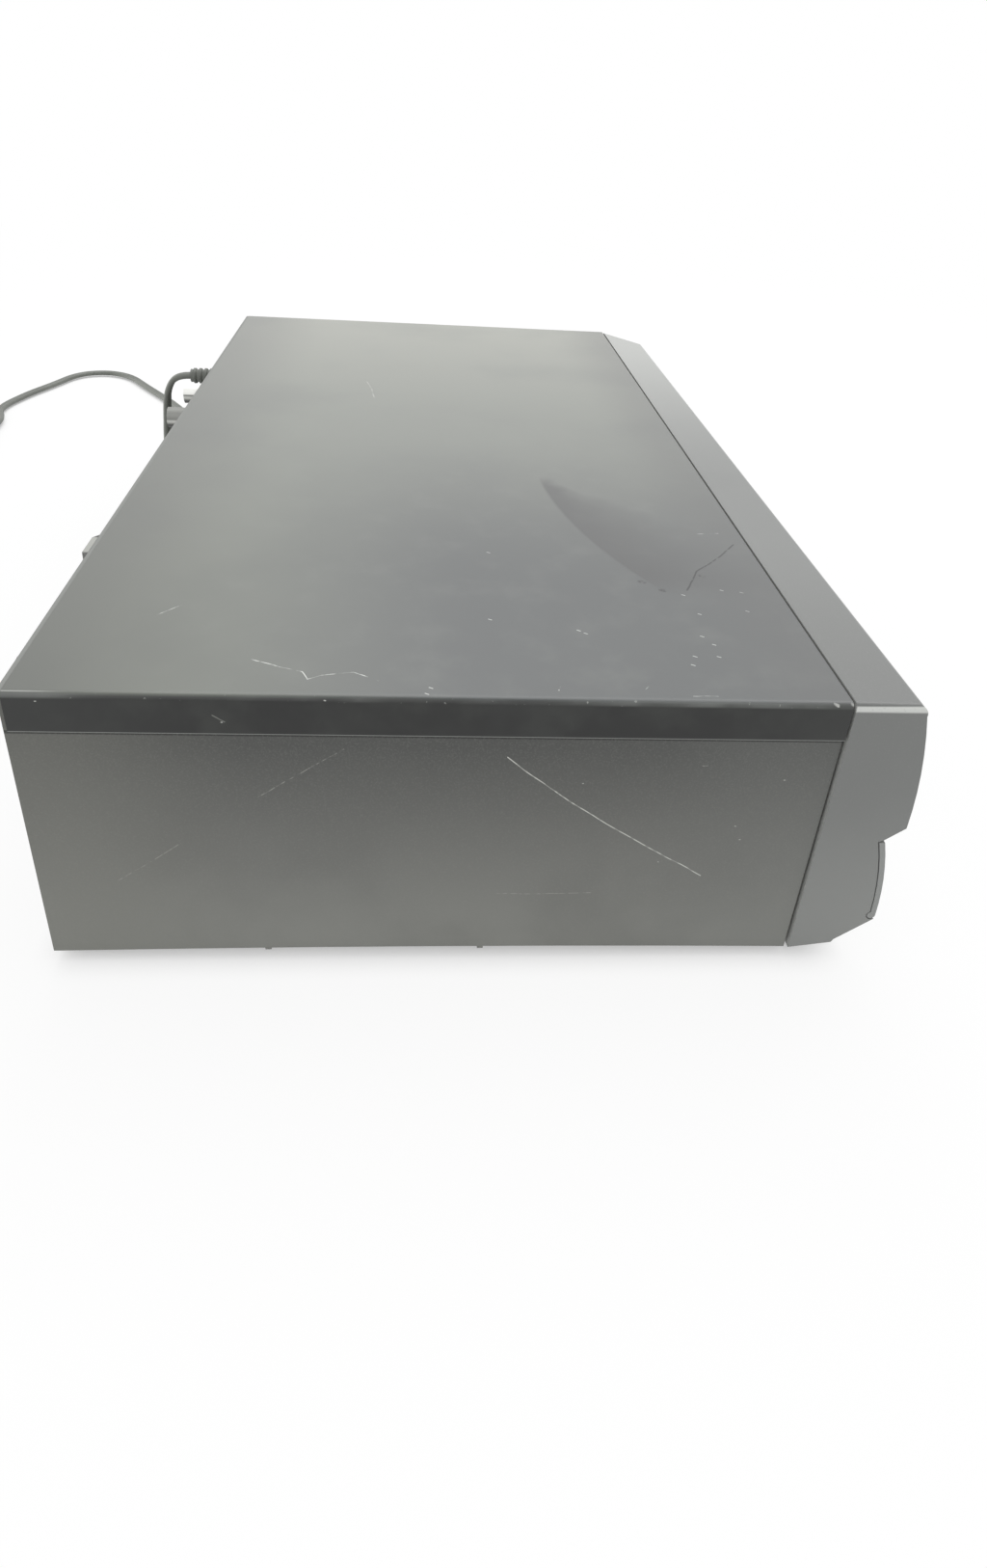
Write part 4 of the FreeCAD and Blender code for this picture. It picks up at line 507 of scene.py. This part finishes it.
def cover_finish():
    """Dark stoved enamel on sheet steel: a hard, even gloss, its top greyed by dust and by painted sheen."""
    s = Finish("stoved_enamel", "#161716", 0.4, coat_rough=0.34)
    x = s.place("X")
    y = s.place("Y")
    z = s.place("Z")
    top = s.over((z, TOP - 0.9, TOP - 0.1))
    below = s.over((top, 1.0, 0.0), straight=True)

    # Dust and painted sheen: the top is painted lighter to the back, to the middle and to the right, with
    # wiped and spotted places
    s.tint(top, "#242b2b")
    s.tint(s.over(top, (y, -10, 100)), "#6c7066", 0.9)
    s.tint(s.over(top, (x, -150, 20)), "#6a6e65", 0.85)
    to_right = s.over((x, 20, 215), straight=True)
    s.tint(s.over(top, to_right), "#86887d", 0.95)
    s.tint(s.over(top, (s.blotches(60, 3), 0.4, 0.75)), "#343a39", 0.25)
    s.tint(s.over(top, (s.blotches(16, 4), 0.45, 0.8)), "#70746d", 0.15)
    s.gloss(top, 0.44)

    # The dent, darkened with painted shade, and the gouge and rubs that took the gloss off beside it
    dent = dent_mask(s)
    s.tint(s.over(top, dent), "#0d1010", 0.85)
    s.relief(s.over(top, dent), DENT_DEPTH)
    gouge = s.strokes(on_top(TOP_GOUGE), 0.8, 0.5, 1.0)
    rubs = s.spots(on_top(TOP_RUBS), 2.6)
    broken_gouge = s.over(gouge, (s.blotches(2.2), 0.3, 0.5))
    broken_rubs = s.over(rubs, (s.blotches(1.5), 0.4, 0.6))
    rough = s.joined(broken_gouge, broken_rubs)
    s.tint(rough, "#0a0b0b", 0.9)
    s.relief(gouge, -0.06)
    dull = s.over((dent, 0.0, 1.0, 1.0, 0.88), (rough, 0.0, 1.0, 1.0, 0.4), straight=True)
    s.tree.links.new(s.over(top, dull, 0.85), s.shader.inputs["Coat Weight"])

    # Scratches and specks down to the pale primer
    for places in TOP_SCRATCHES:
        scratch = s.strokes(on_top(places), 0.45, 0.7, 1.2)
        s.tint(s.over(scratch, (s.blotches(3), 0.35, 0.6)), "#e3e5df", 0.85)
    s.tint(s.spots(on_top(TOP_SPECKS), 0.5), "#d2d4ce", 0.8)

    # The fold along the left edge, with a painted highlight at both ends
    bend = s.over((z, TOP - 1.9, TOP - 1.0), (z, TOP - 0.05, TOP - 0.6), (x, -205, -213))
    bend_highlight = s.joined((y, -10, -60, 0.0, 0.7), (y, 92, 106))
    s.tint(s.over(bend, bend_highlight), "#8b8e8b", 0.6)
    s.tint(s.over(bend, (s.blotches(9, 5, (1, 0.4, 1)), 0.4, 0.75)), "#7f827f", 0.3)
    s.tint(s.over(bend, (s.blotches(1.3, 3), 0.68, 0.74)), "#b9bbb6", 0.6)
    s.tint(s.over(below, (s.blotches(18, 4), 0.42, 0.7)), "#2c2e2b", 0.7)
    # Painted highlight: a bright line and two glints at the cover's left corner
    corner_highlight = s.strokes(on_side(CORNER_HIGHLIGHT, 1.2), 0.6)
    s.tint(s.over(corner_highlight, (y, 98, 112)), "#e0e2dc", 0.8)
    s.tint(s.spots(on_side(CORNER_GLINTS, 0.6), 1.3), "#ecede8", 0.9)

    # The folded flange: painted light makes it lighter at both ends and under the fold, and a painted
    # highlight runs along its lower edge
    s.tint(s.joined((y, 60, 116), (y, -70, -106)), "#2b2d2b", 0.5)
    s.tint(s.over((z, TOP - 0.5, TOP - 2.0), (s.blotches(25, 3), 0.5, 0.8)), "#2b2d2b", 0.6)
    s.tint(s.strokes(on_side(FLANGE_SCRATCH), 0.5, 0.8, 0.8), "#7d7f7a", 0.7)
    s.tint(s.spots(on_side(FLANGE_CHIPS), 0.45), "#c4c6c0", 0.85)
    s.tint((z, FLANGE_LOW + 0.35, FLANGE_LOW + 0.1), "#8d908c", 0.8)

    # Enamel flows out smooth, with a ripple just under a millimetre wide
    s.relief(s.blotches(0.8), 0.003)
    return s.done()


def cabinet_finish():
    """Polystyrene moulded in an etched tool: a dull, speckled sheen, scuffed pale on its left side."""
    s = Finish("textured_polystyrene", "#474846", 0.52, ior=1.59, specular=0.38)
    y = s.place("Y")
    z = s.place("Z")

    # Painted light: paler towards the floor, where the floor's light reaches it, and towards both ends, with
    # clouds of random tone
    s.tint(s.over((z, 80, 8), straight=True), "#858681")
    s.tint((s.blotches(45, 3), 0.4, 0.75), "#585956", 0.3)
    s.tint((y, 50, 112), "#75766f", 0.45)
    s.tint((y, -40, -100), "#6d6f6c", 0.3)

    # Painted shadow: a dark line in the joint under the flange. A painted highlight along the cabinet's top
    # edge.
    s.tint(s.over((z, 82.6, 83.0), (z, 84.0, 83.6)), "#161716", 0.8)
    s.tint((z, TOP - 1.2, TOP - 0.9), "#8b8d8a", 0.8)

    # The etched grain is about 0.1 mm, too fine to show here, so it is drawn at 0.45 mm
    grain = s.blotches(0.45)
    s.tint((grain, 0.45, 0.75), "#8b8c87", 0.14)
    s.relief(grain, 0.02)

    # Scratches of the left side
    left = s.over((s.place("X"), -200, -210))
    scratch = s.strokes(on_side(SIDE_SCRATCH, 1.0), 0.42, 0.6, 0.5)
    s.tint(s.over(left, scratch, (s.blotches(2.4), 0.34, 0.56, 0.35, 1.0)), "#cfd1ca", 0.85)
    for places in SIDE_FAINT:
        mark = s.strokes(on_side(places, 1.0), 0.4, 0.7, 0.6)
        s.tint(s.over(left, mark, (s.blotches(1.6), 0.38, 0.6)), "#a3a49d", 0.55)
    s.tint(s.over(left, s.spots(on_side(SIDE_SPECKS, 1.0), 0.5)), "#c0c1ba", 0.7)
    return s.done()


def bezel_finish():
    """ABS moulded in an etched tool and lacquered: a soft, silvery gloss over a fine speckle."""
    s = Finish("lacquered_abs", "#6a6c6a", 0.45, ior=1.54, coat=0.6, coat_rough=0.36)
    x = s.place("X")
    z = s.place("Z")
    s.tint((s.blotches(40, 3), 0.4, 0.75), "#626462", 0.4)
    # Painted light: paler towards the floor
    s.tint((z, 75, 10), "#7f817e", 0.8)

    # Painted light: its top is painted darker at the left end and pale at the right as sheen falls, its back
    # face is painted pale against its shade, and a painted highlight runs along its left rim
    s.tint(s.over(s.facing("Z"), (x, -215, -100, 1.0, 0.0)), "#565856", 0.8)
    s.tint(s.over(s.facing("Z"), (x, -60, 215)), "#a9aba7", 0.9)
    s.tint(s.facing("Y"), "#b9bbb7", 0.9)
    rim_highlight = s.over((z, TOP - 2.7, TOP - 1.9), (z, TOP - 0.6, TOP - 1.0), (x, -212.6, -213.4))
    s.tint(rim_highlight, "#d5d7d3", 0.85)

    # The etched grain is about 0.1 mm, too fine to show here, so it is drawn at 0.55 mm
    grain = s.blotches(0.55)
    s.tint((grain, 0.56, 0.72), "#7f817e", 0.2)
    s.relief(grain, 0.012)
    return s.done()


def socket_finish():
    """Nickel plate gone dull on turned barrels: grey above, with a painted highlight on the far barrel's top,
    a painted highlight band along the side, and painted shade below.
    """
    s = Finish("dull_nickel_plate", "#8d8e8a", 0.45, 0.25)
    x = s.place("X")
    z = s.place("Z")
    s.tint(s.over((z, 81.6, 82.0), (x, 70, 80)), "#f6f6f2")
    s.tint(s.over((z, 79.3, 79.7), (z, 81.2, 80.8)), "#d2d3ce", 0.9)
    s.tint((z, 78.9, 78.4), "#3a3b39", 0.9)
    return s.done()


def clip_finish():
    """Sprung steel strip, tumbled bright on its flat face, with painted shade where it is bent at both ends.
    """
    s = Finish("tumbled_strip", "#a6a7a2", 0.5)
    x = s.place("X")
    s.tint(s.joined((x, -131.0, -132.4), (x, -120.4, -119.4)), "#2d2d2b", 0.9)
    return s.done()


def board_finish():
    """Pressed phenolic paper, a flat toffee brown, with dark moulded parts standing on it."""
    s = grained("pressed_phenolic", "#8a6a3c", 0.55, ior=1.6, vary=0.06)
    s.tint(s.over((s.place("Z"), BOARD_TOP + 0.2, BOARD_TOP + 0.5), straight=True), "#242426", 0.95)
    return s.done()


board = board_finish()
paint("main_board", board)
paint("power_board", board)
paint("cover_clip", clip_finish())
paint("antenna_sockets", socket_finish())
paint("top_cover", cover_finish())
paint("cabinet", cabinet_finish())
paint("front_bezel", bezel_finish())

# The plain finishes: colour, roughness, metallic, IOR, and the nodes that wear them

METAL_IOR = 1.5
PLAIN_FINISHES = {
    # Doors moulded of ABS in an etched tool: an even, soft grey
    "moulded_abs": ("#8b8d8b", 0.42, 0.0, 1.54, ["cassette_door", "control_door"]),
    # Keys of darker ABS, polished a little by fingers
    "handled_abs": ("#555755", 0.4, 0.0, 1.54, [
        "power_button", "eject_button", "play_button", "stop_button", "rewind_button", "fast_forward_button",
        "pause_button", "record_button", "channel_up_button", "channel_down_button"]),
    # Pressed rubber, nearly black and matt
    "pressed_rubber": ("#1c1c1c", 0.75, 0.0, 1.52, ["feet", "pinch_roller"]),
    # Screws cold-headed and zinc plated, gone dull: dark grey with a weak shine
    "dulled_zinc_screws": ("#6f7173", 0.35, 0.9, METAL_IOR, ["rear_screws"]),
    # Tinplate folded to a can: bright and a little soft
    "folded_tinplate": ("#b9bab8", 0.3, 0.95, METAL_IOR, ["rf_block"]),
    # Black PBT moulded smooth, as jacks are
    "moulded_pbt": ("#2a2a2a", 0.45, 0.0, 1.54, ["rear_jacks", "front_jacks"]),
    # The same board as the others, bare of tall parts
    "bare_phenolic": ("#8a6a3c", 0.55, 0.0, 1.6, ["control_board"]),
    # Steel sheet pressed and zinc plated: pale grey with a cloudy shine
    "zinc_plated_steel": ("#a9aba8", 0.38, 0.85, METAL_IOR, [
        "deck_chassis", "side_frames", "basket", "slider"]),
    # Aluminium and steel turned and polished for the tape: the brightest things inside
    "turned_and_polished": ("#c6c8ca", 0.18, 1.0, METAL_IOR, ["drum_upper", "drum_lower", "capstan"]),
    # Drawn steel cans and stacked laminations, oily grey
    "drawn_steel": ("#8b8d90", 0.4, 0.8, METAL_IOR, ["capstan_motor", "loading_motor", "transformer"]),
    # Aluminium extruded and left raw: matt, pale
    "extruded_aluminium": ("#9c9ea0", 0.45, 0.8, METAL_IOR, ["heat_sink"]),
    # Black ABS moulded and shrunk sleeves, half matt
    "black_abs": ("#1e1f20", 0.5, 0.0, 1.54, [
        "capacitors", "erase_head", "audio_head", "supply_reel", "takeup_reel"]),
    # Acetal moulded in its natural milk white, soft to the eye
    "natural_acetal": ("#d8d6cc", 0.5, 0.0, 1.41, ["cam_gear", "worm", "clutch", "idler_wheel", "idler_arm"]),
    # Steel arms stamped and nickel plated: brighter than the chassis
    "nickel_plated_steel": ("#a0a2a0", 0.35, 0.9, METAL_IOR, [
        "left_loading_arm", "right_loading_arm", "tension_arm", "pinch_arm"]),
    # Ground neoprene belt, black with a slight sheen
    "ground_neoprene": ("#151515", 0.6, 0.0, 1.52, ["reel_belt"]),
    # The plug's PVC, moulded over the cord's end and darker than the cord
    "overmoulded_pvc": ("#5b5d5a", 0.45, 0.0, 1.53, ["plug_body"]),
    # Brass stamped and left bare: warm and bright
    "stamped_brass": ("#c9a86a", 0.3, 1.0, METAL_IOR, ["plug_blades"]),
    # Polyethylene tie, white and waxy
    "moulded_polyethylene": ("#d6d6d2", 0.5, 0.0, 1.53, ["cord_tie"]),
    # Drawn glass of the display tube, dark and sharp in its shine
    "drawn_glass": ("#2c3533", 0.1, 0.0, 1.52, ["display_tube"]),
    # Cast acrylic, smoked nearly black and polished
    "smoked_acrylic": ("#0c0d0d", 0.12, 0.0, 1.49, ["display_window"]),
}
for finish, (color, rough, metal, ior, names) in PLAIN_FINISHES.items():
    material = grained(finish, color, rough, metal, ior, vary=0.06).done()
    for name in names:
        paint(name, material)

# Camera: where it stands in metres, its own directions, and its lens in pixels of the picture's height

CAMERA_PLACE = (-0.43077, 0.01396, 0.23709)
RIGHT = Vector((-0.062439, -0.996357, 0.058087))
DOWN = Vector((-0.509254, -0.018249, -0.860423))
AHEAD = Vector((0.858348, -0.083305, -0.506260))
PICTURE_HEIGHT = 1626.0
FOCAL_LENGTH = 1034.5
OFF_CENTRE = (3.0, -135.4)

camera_data = bpy.data.cameras.new("camera")
camera_data.sensor_width = 36.0
camera_data.lens = FOCAL_LENGTH / PICTURE_HEIGHT * camera_data.sensor_width
camera_data.shift_x = OFF_CENTRE[0] / PICTURE_HEIGHT
camera_data.shift_y = OFF_CENTRE[1] / PICTURE_HEIGHT
camera_data.clip_start = 0.01
camera_data.clip_end = 50.0
camera = bpy.data.objects.new("camera", camera_data)
turned = Matrix((RIGHT, -DOWN, -AHEAD)).transposed().to_4x4()
camera.matrix_world = Matrix.Translation(CAMERA_PLACE) @ turned
bpy.context.collection.objects.link(camera)
bpy.context.scene.camera = camera

# Floor: a pale paper that the camera and reflections see near white

FLOOR_HALF = 12.0
FLOOR_GLOW = 0.88
GLOW_NEAR = 0.45
GLOW_FAR = 1.3
CONTACT_REACH = 0.010


def paper():
    """Uncoated paper, matt and near white, with the object's shadow dark close to where it stands."""
    s = Finish("uncoated_paper", "#f6f6f6", 0.9, specular=0.0)
    rays = s.add("LightPath").node.outputs
    seen = s.joined(rays["Is Camera Ray"], rays["Is Glossy Ray"], rays["Is Transmission Ray"])
    near = s.add("AmbientOcclusion", {"Distance": CONTACT_REACH}, out="AO", samples=8)
    open_air = s.over((near, 0.2, 0.95, 0.3, 1.0), straight=True)
    distance = s.add("VectorMath", {0: s.where}, out="Value", operation="LENGTH")
    share = s.over(seen, open_air, (distance, GLOW_NEAR, GLOW_FAR, FLOOR_GLOW, 1.0))
    glow = s.add("Emission", {"Strength": 1.0})
    mixed = s.add("MixShader", {"Fac": share, 1: s.shader.outputs["BSDF"], 2: glow})
    s.tree.links.new(mixed, s.tree.nodes["Material Output"].inputs["Surface"])
    return s.done()


sheet = bmesh.new()
bmesh.ops.create_grid(sheet, x_segments=1, y_segments=1, size=FLOOR_HALF)
floor = finished("floor", sheet)
floor.data.materials.append(paper())

# Light: two wide lamps, and an even room that the camera and reflections see white

ROOM_LIGHT = 0.6
ROOM_SEEN = 1.0


def lamp(name, place, target, size, power):
    """A square lamp at the place that looks at the target."""
    data = bpy.data.lights.new(name, "AREA")
    data.energy = power
    data.size = size
    made = bpy.data.objects.new(name, data)
    made.location = place
    made.rotation_mode = "QUATERNION"
    made.rotation_quaternion = (Vector(target) - Vector(place)).to_track_quat("-Z", "Y")
    bpy.context.collection.objects.link(made)


lamp("overhead", place=(0.7, -0.3, 1.8), target=(0, 0, 0), size=2.0, power=26)
lamp("left_fill", place=(-1.8, 0.5, 1.2), target=(-0.2, 0, 0), size=1.6, power=8)
world = bpy.data.worlds.new("room")
world.use_nodes = True
room = world.node_tree
rays = add(room, "LightPath").node.outputs
seen = add(room, "Math", {0: rays["Is Camera Ray"], 1: rays["Is Glossy Ray"]}, operation="MAXIMUM")
strength = add(room, "MapRange", {"Value": seen, "To Min": ROOM_LIGHT, "To Max": ROOM_SEEN})
room.links.new(strength, room.nodes["Background"].inputs["Strength"])
room.nodes["Background"].inputs["Color"].default_value = linear("#ffffff")
bpy.context.scene.world = world
bpy.context.scene.view_settings.view_transform = "Standard"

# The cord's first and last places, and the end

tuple(route[0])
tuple(route[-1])
